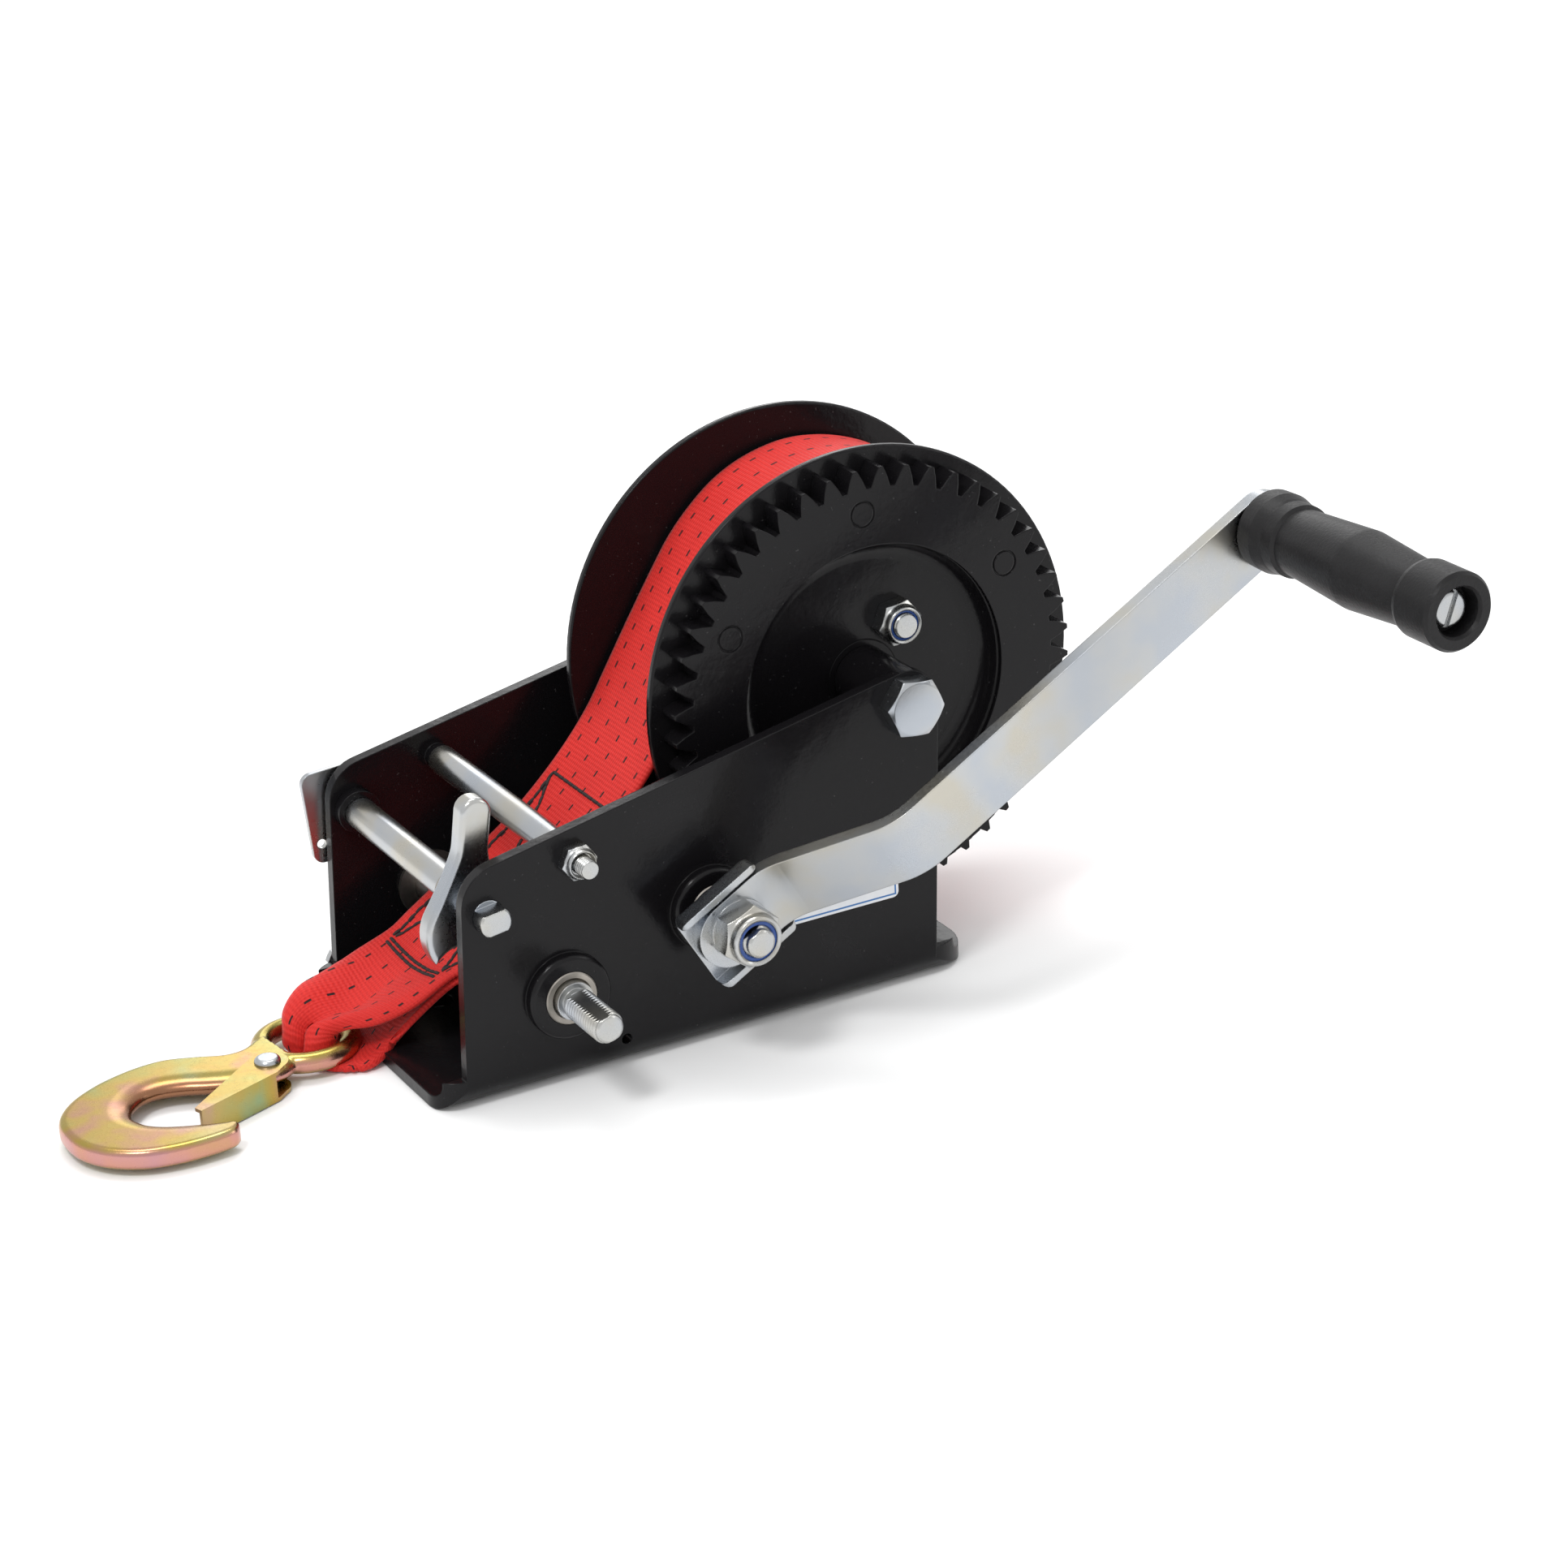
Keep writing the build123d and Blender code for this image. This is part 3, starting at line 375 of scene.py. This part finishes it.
def black_thread():
    """The fuzzy black thread of the seam."""
    g = Graph("black_thread")
    fuzz = g.noise(2500, 3.0)
    colour = g.mix(fuzz, (0.006, 0.005, 0.006, 1), (0.03, 0.02, 0.02, 1))
    return g.set(Base_Color=colour, Roughness=0.75, Normal=g.bump(fuzz, 0.5, 0.0003))


def weave_height(g, along, across):
    """Cross ribs that wander a little, warp columns, a slanting twill and single fibres."""
    wobble = g.math("MULTIPLY", g.math("SUBTRACT", g.noise(300, 2.0), 0.5), 0.0005)
    rib = g.wave(g.math("ADD", along, wobble), RIB_PITCH)
    column = g.wave(across, COLUMN_PITCH)
    twill = g.wave(g.math("ADD", across, g.math("MULTIPLY", along, 1.5)), TWILL_PITCH)
    fibre = g.noise(3200, 2.0)
    height = g.math("ADD", g.math("MULTIPLY", rib, 0.55), g.math("MULTIPLY", column, 0.30))
    height = g.math("ADD", height, g.math("MULTIPLY", twill, 0.15))
    return g.math("ADD", height, g.math("MULTIPLY", fibre, 0.5))


def tracer_ticks(g, along, across):
    """One where a black tick of the staggered tracer rows lies, and nought elsewhere."""
    row = g.math("DIVIDE", g.math("SUBTRACT", STRAP_HALF - EDGE_TO_ROW, across), ROW_PITCH)
    row_index = g.math("ROUND", row)
    off_row = g.math("ABSOLUTE", g.math("MULTIPLY", g.math("SUBTRACT", row, row_index), ROW_PITCH))
    odd = g.math("ABSOLUTE", g.math("MODULO", row_index, 2.0))
    phase = g.math("ADD", g.math("DIVIDE", along, TICK_PITCH), g.math("MULTIPLY", odd, ROW_STAGGER))
    off_tick = g.math("ABSOLUTE", g.math("SUBTRACT", g.math("FRACT", phase), 0.5))
    near_row = g.span(off_row, 0.00034, 0.00050, 1.0, 0.0)
    near_tick = g.span(off_tick, 0.15, 0.19, 1.0, 0.0)
    return g.math("MULTIPLY", near_row, near_tick)


def webbing():
    """Red polyester webbing with black tracer ticks."""
    g = Graph("webbing_red")
    uv = g.add("ShaderNodeUVMap")
    uv.uv_map = "weave"
    parts = g.add("ShaderNodeSeparateXYZ", Vector=uv.outputs["UV"])
    along, across = parts.outputs["X"], parts.outputs["Y"]
    height = weave_height(g, along, across)
    cloud = g.noise(45, 3.0)
    red = g.mix(g.span(cloud, 0.35, 0.7), (0.58, 0.018, 0.014, 1), (0.68, 0.026, 0.020, 1))
    # Painted shade: the low hollows of the weave are painted a darker red, as if shaded.
    hollow_shade = g.span(height, -0.9, 0.6)
    red = g.mix(hollow_shade, (0.52, 0.013, 0.011, 1), red)
    colour = g.mix(tracer_ticks(g, along, across), red, (0.012, 0.002, 0.003, 1))
    g.set(Base_Color=colour, Roughness=0.62, Normal=g.bump(height, 0.45, 0.00028))
    return g.set(Specular_IOR_Level=0.25, Sheen_Weight=0.10, Sheen_Roughness=0.45)


def label_film(low, high):
    """A blank white sticker with a thin blue line inside its edge."""
    g = Graph("label_film")
    line_inset = 0.0011
    parts = g.add("ShaderNodeSeparateXYZ", Vector=g.place())
    inset = []
    for socket, a, b in (("X", low.x, high.x), ("Z", low.z, high.z)):
        centre = g.math("SUBTRACT", parts.outputs[socket], (a + b) / 2)
        inset.append(g.math("SUBTRACT", (b - a) / 2, g.math("ABSOLUTE", centre)))
    depth = g.math("MINIMUM", *inset)
    off_line = g.math("ABSOLUTE", g.math("SUBTRACT", depth, line_inset))
    line = g.span(off_line, 0.00022, 0.00034, 1.0, 0.0)
    grain = g.noise(500, 2.0)
    paper = g.mix(grain, (0.60, 0.62, 0.65, 1), (0.70, 0.71, 0.73, 1))
    colour = g.mix(line, paper, (0.02, 0.13, 0.36, 1))
    return g.set(Base_Color=colour, Roughness=g.math("ADD", g.math("MULTIPLY", grain, 0.1), 0.25))


# ---------------------------------------------------------------- mesh helpers
def new_object(name, mesh, material, body):
    obj = bpy.data.objects.new(name, mesh)
    bpy.context.collection.objects.link(obj)
    mesh.materials.append(material)
    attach(obj, body)
    return obj


def smooth(mesh):
    mesh.polygons.foreach_set("use_smooth", [True] * len(mesh.polygons))


def clamp(value):
    return min(max(value, 0), 1)


def loft(rings):
    """Quads between equal closed rings of points, with flat ends."""
    count = len(rings[0])
    points = [p for ring in rings for p in ring]
    faces = []
    for i in range(len(rings) - 1):
        for j in range(count):
            k = (j + 1) % count
            faces.append((i * count + j, i * count + k, (i + 1) * count + k, (i + 1) * count + j))
    faces.append(tuple(reversed(range(count))))
    faces.append(tuple(range((len(rings) - 1) * count, len(rings) * count)))
    return points, faces


def woven_mesh(name, rings, marks):
    """A lofted mesh of webbing; marks hold the run and the place across at each point."""
    points, faces = loft(rings)
    mesh = bpy.data.meshes.new(name)
    mesh.from_pydata(points, [], faces)
    weave = mesh.uv_layers.new(name="weave")
    flat = [mark for ring in marks for mark in ring]
    for loop in mesh.loops:
        weave.data[loop.index].uv = flat[loop.vertex_index]
    smooth(mesh)
    return mesh


def nurbs_points(points, name):
    """The points of a smooth curve that has these control points."""
    curve = bpy.data.curves.new(name, "CURVE")
    curve.dimensions = "3D"
    spline = curve.splines.new("NURBS")
    spline.points.add(len(points) - 1)
    for control, p in zip(spline.points, points):
        control.co = (*p, 1)
    spline.order_u = 3
    spline.use_endpoint_u = True
    spline.resolution_u = 20
    obj = bpy.data.objects.new(name, curve)
    bpy.context.collection.objects.link(obj)
    mesh = bpy.data.meshes.new_from_object(obj)
    found = [v.co.copy() for v in mesh.vertices]
    bpy.data.objects.remove(obj)
    return found


def catmull(a, b, c, d, t):
    return 0.5 * (2 * b + (c - a) * t + (2 * a - 5 * b + 4 * c - d) * t**2 + (3 * b - a - 3 * c + d) * t**3)


def spread(points, count):
    """A smooth row of count points through a few given ones."""
    found = []
    last = len(points) - 1
    for i in range(count):
        at = i * last / (count - 1)
        k = min(int(at), last - 1)
        near = [points[min(max(k + o, 0), last)] for o in (-1, 0, 1, 2)]
        found.append(catmull(*near, at - k))
    return found


# ---------------------------------------------------------------- strap
# The route of the strap's middle, x and z: from behind the drum, round it and down to the hook.
STRAP_ROUTE = [
    (0.0501, 0.04425),
    (0.0675, 0.0385),
    (0.0991, 0.0445),
    (0.1250, 0.0695),
    (0.1325, 0.1077),
    (0.1142, 0.1418),
    (0.0828, 0.1551),
    (0.0549, 0.1502),
    (0.0358, 0.1349),
    (0.0245, 0.1185),
    (0.0115, 0.0983),
    (-0.0025, 0.0755),
    (-0.0280, 0.0515),
    (-0.0505, 0.0386),
    (-0.0700, 0.0260),
    (-0.0815, 0.0182),
    (-0.0895, 0.0122),
]

# The strap's gathered eye: nine points across (near edge to far edge, mm) at each station,
# over the hook's ring, down through it, and back under itself to the seam.
EYE_STATIONS = [
    [(-71, -17, 26.5), (-71.5, -12, 26), (-72, -7, 25), (-72, -1.5, 24.4), (-72, 4.5, 24),
     (-72, 11, 24), (-72, 17, 24.2), (-72, 23, 24.5), (-72, 29, 24.8)],
    [(-81, -13.5, 19), (-82.5, -9, 20), (-83, -4, 19.5), (-84, 1, 18.5), (-84, 5.5, 17.5),
     (-84, 11, 18), (-84, 17, 19), (-84, 22, 20.5), (-84, 28.5, 20.8)],
    [(-88, -9.5, 14.5), (-90, -6, 16), (-92, -2, 15.8), (-93.5, 2, 14), (-94, 6, 13),
     (-94.5, 11, 15), (-95, 16, 18), (-95, 21.5, 19.8), (-93.5, 26.5, 17.8)],
    [(-95, -5.5, 12), (-97.5, -2.5, 13.5), (-100.5, 0.5, 14), (-102, 4, 12.5), (-103, 7.5, 11.8),
     (-105, 11.5, 15), (-106, 15.5, 18.2), (-105.5, 20, 18), (-102, 23, 14)],
    [(-101, 0, 11), (-103.5, 1.5, 10.8), (-106, 3.5, 10.8), (-108, 6.5, 10.3), (-108.5, 9.5, 9),
     (-111.5, 11, 12.2), (-112.4, 14, 14.2), (-111.6, 17.5, 13.5), (-107, 20, 10.5)],
    [(-102, 3.5, 8), (-104.5, 2.2, 7.5), (-108, 2.4, 6.8), (-111, 4.5, 6), (-110, 8, 5.2),
     (-113.6, 9, 8), (-114.6, 12, 9), (-113, 15.5, 8.3), (-108.5, 17.4, 6.5)],
    [(-101, 5, 4), (-104, 2.4, 3.4), (-107.5, 1.4, 2.6), (-111, 3.2, 2.2), (-110, 7, 2.2),
     (-113, 8.2, 3), (-114.4, 10.6, 4), (-113, 14, 3.6), (-108, 16, 3)],
    [(-96.5, -1, 1.6), (-99, -4, 1.5), (-103, -6.5, 1.6), (-106.5, -5.5, 1.5), (-105, -1.5, 1.5),
     (-104.5, 4, 1.5), (-104.5, 9, 1.5), (-103, 14, 1.6), (-99, 19, 1.7)],
    [(-91.5, -6, 3), (-94, -8, 1.8), (-97.5, -9.3, 1.6), (-98.5, -6, 2), (-97, -1, 2.4),
     (-96.5, 5, 1.8), (-96.5, 11, 1.7), (-96, 17, 1.8), (-93.5, 23, 2.8)],
    [(-85, -8, 9.5), (-86.5, -7, 7.4), (-87.5, -4.5, 6.6), (-88, -0.5, 6.3), (-88, 4.5, 6.2),
     (-88, 11, 6.2), (-88, 17, 6.4), (-87.5, 22.5, 6.8), (-86, 27, 9)],
    [(-77.5, -11.5, 17), (-78.2, -9, 15.2), (-78.5, -6, 14.4), (-79, -1, 14.2), (-79, 4.5, 14.2),
     (-79, 11, 14.2), (-79, 17, 14.4), (-79, 22.5, 14.8), (-78, 27.5, 16.5)],
    [(-70.5, -16.5, 23.8), (-70.8, -12, 23), (-71, -7, 22.2), (-71, -1.5, 21.5), (-71, 4.5, 21.3),
     (-71, 11, 21.3), (-71, 17, 21.5), (-71, 23, 21.8), (-71, 28.6, 22.2)],
]
COLUMNS = 25
MIDDLE = COLUMNS // 2
STEPS_TO_STATION = 9
EDGE_THINNESS = 0.5
FLAT_ENDS_AT = -0.066
PLY_DROP = 0.0024

# The seam: where it starts and ends along the strap, and its lines of stitches.
SEAM_REAR_X = -0.0138
SEAM_FRONT_X = -0.0739
SEAM_LOWEST_Z = 0.02
SEAM_PLY_SHARE = 0.8
SEAM_HALF = 0.0188
SEAM_FRONT_GAP = 0.0009
STITCH_PITCH = 0.0034
STITCH_LENGTH = 0.0033
STITCH_RADIUS = 0.00055
STITCH_ARCH = 0.00028
STITCH_SUNK = 0.00012
STITCH_WANDER = 0.00022
STITCH_PARTS = (0, 0.25, 0.5, 0.75, 1)
STITCH_SIDES = 6


def flat_row(centre):
    step = 2 * STRAP_HALF / (COLUMNS - 1)
    start = STRAP_MIDDLE_Y - STRAP_HALF
    return [Vector((centre.x, start + j * step, centre.z)) for j in range(COLUMNS)]


def returned_ply(lead):
    """Flat rows close under the free length, from its front back to the rear of the seam."""
    rows = []
    for p, q in zip(lead[::-1], lead[-2::-1]):
        if p.x > SEAM_REAR_X:
            break
        along = (q - p).normalized()
        below = Vector((along.z, 0, -along.x)) * PLY_DROP
        rows.append(flat_row(p + below))
    return rows


def strap_rows(line):
    """Rows of points along the strap's middle surface, from the drum, through the eye and back."""
    lead = [p for p in line if p.x > FLAT_ENDS_AT]
    rows = [flat_row(p) for p in lead]
    back = returned_ply(lead)
    stations = [[Vector(p) / 1000 for p in station] for station in EYE_STATIONS]
    eye = [spread(station, COLUMNS) for station in stations]
    chain = [rows[-3], rows[-1], *eye, back[0], back[2]]
    for k in range(1, len(chain) - 2):
        near = chain[k - 1 : k + 3]
        for i in range(1, STEPS_TO_STATION + 1):
            t = i / STEPS_TO_STATION
            rows.append([catmull(*(row[j] for row in near), t) for j in range(COLUMNS)])
    return rows + back[1:]


class Cloth:
    """The strap's middle surface: rows of points, their normals, and the run to each row."""

    def __init__(self, rows):
        self.rows = rows
        self.normals = [self.row_normals(i) for i in range(len(rows))]
        self.lengths = [0.0]
        for a, b in zip(rows, rows[1:]):
            self.lengths.append(self.lengths[-1] + (b[MIDDLE] - a[MIDDLE]).length)

    def row_normals(self, i):
        before, row, after = self.rows[max(i - 1, 0)], self.rows[i], self.rows[min(i + 1, len(self.rows) - 1)]
        found = []
        for j in range(COLUMNS):
            along = after[j] - before[j]
            across = row[min(j + 1, COLUMNS - 1)] - row[max(j - 1, 0)]
            found.append(across.cross(along).normalized())
        return found

    def nearest_row(self, x):
        """The row of the upper ply that is nearest to this x."""
        last = SEAM_PLY_SHARE * len(self.rows)
        upper = [i for i, row in enumerate(self.rows) if row[MIDDLE].z > SEAM_LOWEST_Z and i < last]
        return min(upper, key=lambda i: abs(self.rows[i][MIDDLE].x - x))

    def above(self, u, v, lift):
        """The point over the strap's top at the run u and the place across v."""
        i = next(k for k in range(len(self.rows) - 1) if self.lengths[k + 1] >= u)
        t = (u - self.lengths[i]) / (self.lengths[i + 1] - self.lengths[i])
        p = at_width(self.rows[i], v).lerp(at_width(self.rows[i + 1], v), t)
        n = at_width(self.normals[i], v).normalized()
        return p + n * (STRAP_THICKNESS / 2 + lift)


def at_width(row, v):
    at = (v + STRAP_HALF) / (2 * STRAP_HALF) * (COLUMNS - 1)
    k = min(max(int(at), 0), COLUMNS - 2)
    return row[k].lerp(row[k + 1], at - k)


def make_strap(material, cloth):
    """The free strap as a thin closed skin on both sides of its middle surface."""
    rings, marks = [], []
    for row, lean, u in zip(cloth.rows, cloth.normals, cloth.lengths):
        top, low, places = [], [], []
        for j, (p, n) in enumerate(zip(row, lean)):
            thin = EDGE_THINNESS if j in (0, COLUMNS - 1) else 1.0
            top.append(p + n * STRAP_THICKNESS / 2 * thin)
            low.append(p - n * STRAP_THICKNESS / 2 * thin)
            places.append((u, -STRAP_HALF + 2 * STRAP_HALF * j / (COLUMNS - 1)))
        rings.append(top + low[::-1])
        marks.append(places + places[::-1])
    strap = new_object("strap", woven_mesh("strap", rings, marks), material, "frame")
    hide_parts("strap_tail")
    return strap


def seam_lines(u_rear, u_front):
    """The box and the X of the seam, as pairs of ends (run, place across)."""
    w = SEAM_HALF
    lines = [((u_rear, -w - 0.003), (u_rear, w + 0.002))]
    lines += [((u_front + d, -w), (u_front + d, w)) for d in (-SEAM_FRONT_GAP, SEAM_FRONT_GAP)]
    lines += [((u_rear, s * w), (u_front, s * w)) for s in (-1, 1)]
    lines += [((u_rear + 0.002, s * w), (u_front - 0.001, -s * w)) for s in (-1, 1)]
    return lines


def stitch_path(cloth, line, k):
    """The points of the k-th stitch of a line: a low arch that wanders a little."""
    (u0, v0), (u1, v1) = line
    whole = math.hypot(u1 - u0, v1 - v0)
    path = []
    for part in STITCH_PARTS:
        t = (k * STITCH_PITCH + part * STITCH_LENGTH) / whole
        wander = STITCH_WANDER * math.sin(k * 1.9 + part)
        u = u0 + (u1 - u0) * t
        v = v0 + (v1 - v0) * t + wander
        lift = STITCH_ARCH * math.sin(math.pi * part) - STITCH_SUNK
        path.append(cloth.above(u, v + random.uniform(-4e-5, 4e-5), lift))
    return path


def stitch_rings(path):
    axis = (path[-1] - path[0]).normalized()
    side = axis.orthogonal().normalized()
    other = axis.cross(side)
    angles = [a * math.tau / STITCH_SIDES for a in range(STITCH_SIDES)]
    return [[p + STITCH_RADIUS * (math.cos(a) * side + math.sin(a) * other) for a in angles] for p in path]


def make_stitches(material, cloth):
    """The black box-and-X seam that holds the doubled strap, as single raised stitches."""
    u_rear = cloth.lengths[cloth.nearest_row(SEAM_REAR_X)]
    u_front = cloth.lengths[cloth.nearest_row(SEAM_FRONT_X)]
    points, faces = [], []
    for line in seam_lines(u_rear, u_front):
        (u0, v0), (u1, v1) = line
        for k in range(int(math.hypot(u1 - u0, v1 - v0) / STITCH_PITCH)):
            base = len(points)
            tube_points, tube_faces = loft(stitch_rings(stitch_path(cloth, line, k)))
            points += tube_points
            faces += [tuple(base + i for i in face) for face in tube_faces]
    mesh = bpy.data.meshes.new("strap_stitching")
    mesh.from_pydata(points, [], faces)
    smooth(mesh)
    seam_piece = new_object("strap_stitching", mesh, material, "frame")


# ---------------------------------------------------------------- wound strap
DRUM_X, DRUM_Z = 0.0694, 0.092
PACK_RADIUS = 0.0493
PLY = 0.0024
WOUND_TURNS = 11
STEPS_TO_TURN = 80
START_ANGLE = 0.6
SIDE_PLAY = 0.0007

# One ply's section: its height in plies, its share of the half width, and its side.
PLY_SECTION = [
    (0.0, 0.98, 1),
    (0.45, 1.0, 1),
    (0.9, 0.98, 1),
    (0.9, 0.98, -1),
    (0.45, 1.0, -1),
    (0.0, 0.98, -1),
]


def make_pack(material):
    """The wound strap on the drum: a tight spiral of plies whose edges sway a little."""
    inner = PACK_RADIUS - WOUND_TURNS * PLY
    centre = Vector((DRUM_X, STRAP_MIDDLE_Y, DRUM_Z))
    rings, marks = [], []
    u = 0.0
    for i in range(WOUND_TURNS * STEPS_TO_TURN + 1):
        angle = math.tau * i / STEPS_TO_TURN + START_ANGLE
        grow = inner + PLY * i / STEPS_TO_TURN
        out = Vector((math.cos(angle), 0, math.sin(angle)))
        sway = 0.0006 * math.sin(i / 37.0) + 0.0003 * math.sin(i / 11.0)
        ring, mark = [], []
        for height, share, hand in PLY_SECTION:
            y = hand * share * (STRAP_HALF - SIDE_PLAY) + sway
            ring.append(centre + out * (grow + height * PLY - PLY) + Vector((0, y, 0)))
            mark.append((u, hand * STRAP_HALF))
        rings.append(ring)
        marks.append(mark)
        u += math.tau * grow / STEPS_TO_TURN
    pack = new_object("strap_wound", woven_mesh("strap_wound", rings, marks), material, "drum")
    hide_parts("strap_pack")


# ---------------------------------------------------------------- hook
HOOK_MIDDLE_Z = 0.0048
HOOK_HALF = 0.0033
OUTER_ROUND = 0.0021
INNER_ROUND = 0.0068
RING_X, RING_Y = -0.1096, 0.0097
RING_RADIUS = 0.0136
RING_WIRE = 0.0033
RING_STEPS = 72
WIRE_STEPS = 24
BOWL_X, BOWL_Y = -0.157, -0.0125
BOWL_REACH = 0.026
STEPS_TO_RIB = 5
VOXEL = 0.00045

# Ribs from the tip round the bowl to the neck: the outer and the inner point of each, x and y in mm.
HOOK_RIBS = [
    ((-147.8, -33.6), (-149.6, -30.6)),
    ((-150.6, -37.2), (-151.8, -28.6)),
    ((-158.5, -38.4), (-158, -25)),
    ((-168, -38), (-165.6, -20.8)),
    ((-178, -35.2), (-169.5, -17.2)),
    ((-186.8, -28.5), (-171.2, -13.5)),
    ((-192, -19), (-171.9, -10.5)),
    ((-193, -8), (-171.6, -7.5)),
    ((-190.8, 0.5), (-170.4, -4.7)),
    ((-185, 8), (-168.2, -2)),
    ((-176.5, 13.8), (-165, 0.6)),
    ((-168, 17.2), (-161.5, 1.8)),
    ((-159.5, 19), (-157.5, 1.6)),
    ((-151.5, 18.8), (-152, -0.3)),
    ((-143, 15.5), (-146.5, -3.2)),
    ((-135, 11.6), (-139, -6.6)),
    ((-129, 11.8), (-131, -8.6)),
    ((-124.5, 15), (-123.5, -7.4)),
    ((-121.2, 17.4), (-118, -4.2)),
]


def rib_ring(outer, inner):
    """One forged section: a tight round at the outside, a flat, and a wide round at the inside."""
    width = (inner - outer).length
    across = (inner - outer) / width
    tight = min(OUTER_ROUND, 0.3 * width)
    wide = min(INNER_ROUND, 0.45 * width)
    upper = []
    for i in range(6):
        a = i / 5 * math.pi / 2
        upper.append((tight * (1 - math.cos(a)), HOOK_HALF - tight * (1 - math.sin(a))))
    for i in range(1, 4):
        upper.append((tight + (width - tight - wide) * i / 4, HOOK_HALF))
    for i in range(8):
        a = i / 8 * math.pi / 2
        upper.append((width - wide * (1 - math.sin(a)), HOOK_HALF * math.cos(a)))
    whole = upper + [(width, 0)] + [(e, -z) for e, z in upper[::-1]]
    return [Vector((*(outer + across * e), HOOK_MIDDLE_Z + z)) for e, z in whole]


def add_wire_ring(shape):
    """The round ring at the hook's end."""
    wire = []
    for i in range(RING_STEPS):
        a = math.tau * i / RING_STEPS
        for j in range(WIRE_STEPS):
            b = math.tau * j / WIRE_STEPS
            r = RING_RADIUS + RING_WIRE * math.cos(b)
            z = HOOK_MIDDLE_Z + RING_WIRE * math.sin(b)
            wire.append(shape.verts.new((RING_X + r * math.cos(a), RING_Y + r * math.sin(a), z)))
    for i in range(RING_STEPS):
        near = i * WIRE_STEPS
        far = (i + 1) % RING_STEPS * WIRE_STEPS
        for j in range(WIRE_STEPS):
            m = (j + 1) % WIRE_STEPS
            shape.faces.new((wire[near + j], wire[far + j], wire[far + m], wire[near + m]))


def hook_blank():
    """The hook's body and its ring, which still cut into each other."""
    count = STEPS_TO_RIB * (len(HOOK_RIBS) - 1) + 1
    outs = spread([Vector(outer) / 1000 for outer, _ in HOOK_RIBS], count)
    ins = spread([Vector(inner) / 1000 for _, inner in HOOK_RIBS], count)
    points, faces = loft([rib_ring(outer, inner) for outer, inner in zip(outs, ins)])
    mesh = bpy.data.meshes.new("hook_blank")
    mesh.from_pydata(points, [], faces)
    shape = bmesh.new()
    shape.from_mesh(mesh)
    bmesh.ops.recalc_face_normals(shape, faces=shape.faces)
    add_wire_ring(shape)
    shape.to_mesh(mesh)
    shape.free()
    return mesh


def forge(blank):
    """One skin over the blank, with its corners run together."""
    rough = bpy.data.objects.new("rough", blank)
    bpy.context.collection.objects.link(rough)
    remesh = rough.modifiers.new("remesh", "REMESH")
    remesh.mode = "VOXEL"
    remesh.voxel_size = VOXEL
    relax = rough.modifiers.new("relax", "SMOOTH")
    relax.factor = 0.5
    relax.iterations = 7
    depsgraph = bpy.context.evaluated_depsgraph_get()
    forged = bpy.data.meshes.new_from_object(rough.evaluated_get(depsgraph))
    bpy.data.objects.remove(rough)
    forged.name = "hook_forging"
    smooth(forged)
    return forged


def mark_zones(mesh):
    """Attributes for the plating: how steep the skin is, and whether it faces into the bowl."""
    side = mesh.attributes.new("side", "FLOAT", "POINT")
    bore = mesh.attributes.new("bore", "FLOAT", "POINT")
    for v in mesh.vertices:
        n = v.normal
        to_bowl = Vector((BOWL_X - v.co.x, BOWL_Y - v.co.y))
        reach = to_bowl.length
        facing = (n.x * to_bowl.x + n.y * to_bowl.y) / max(reach, 1e-6)
        side.data[v.index].value = clamp((0.80 - abs(n.z)) / 0.45)
        bore.data[v.index].value = clamp((facing - 0.15) / 0.35) if reach < BOWL_REACH else 0


def make_hook(material):
    forged = forge(hook_blank())
    mark_zones(forged)
    hook = new_object("hook_forging", forged, material, "hook")
    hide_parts("hook_body")


# ---------------------------------------------------------------- put it together
add_camera()
fabric = webbing()
strap_line = nurbs_points([(x, STRAP_MIDDLE_Y, z) for x, z in STRAP_ROUTE], "strap_line")
cloth = Cloth(strap_rows(strap_line))
strap = make_strap(fabric, cloth)
make_stitches(black_thread(), cloth)
make_pack(fabric)
make_hook(yellow_zinc("yellow_zinc_forged", True))

SLOTS = {
    "black_coat": black_coat(),
    "bright_zinc": bright_zinc(),
    "yellow_zinc": yellow_zinc("yellow_zinc", False),
    "plain_steel": plain_steel(),
    "grip_plastic": grip_plastic(),
    "nylon_insert": blue_nylon(),
    "label_film": label_film(*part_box("label_plate")),
    "strap_fabric": fabric,
}
SLOT_OF = {s["node"]: s["material_slot"] for s in frame["record"]["subparts"]}
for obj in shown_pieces():
    node = obj.get("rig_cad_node")
    if node is None:
        continue
    obj.data.materials.clear()
    obj.data.materials.append(SLOTS[SLOT_OF[node]])

add_stage()
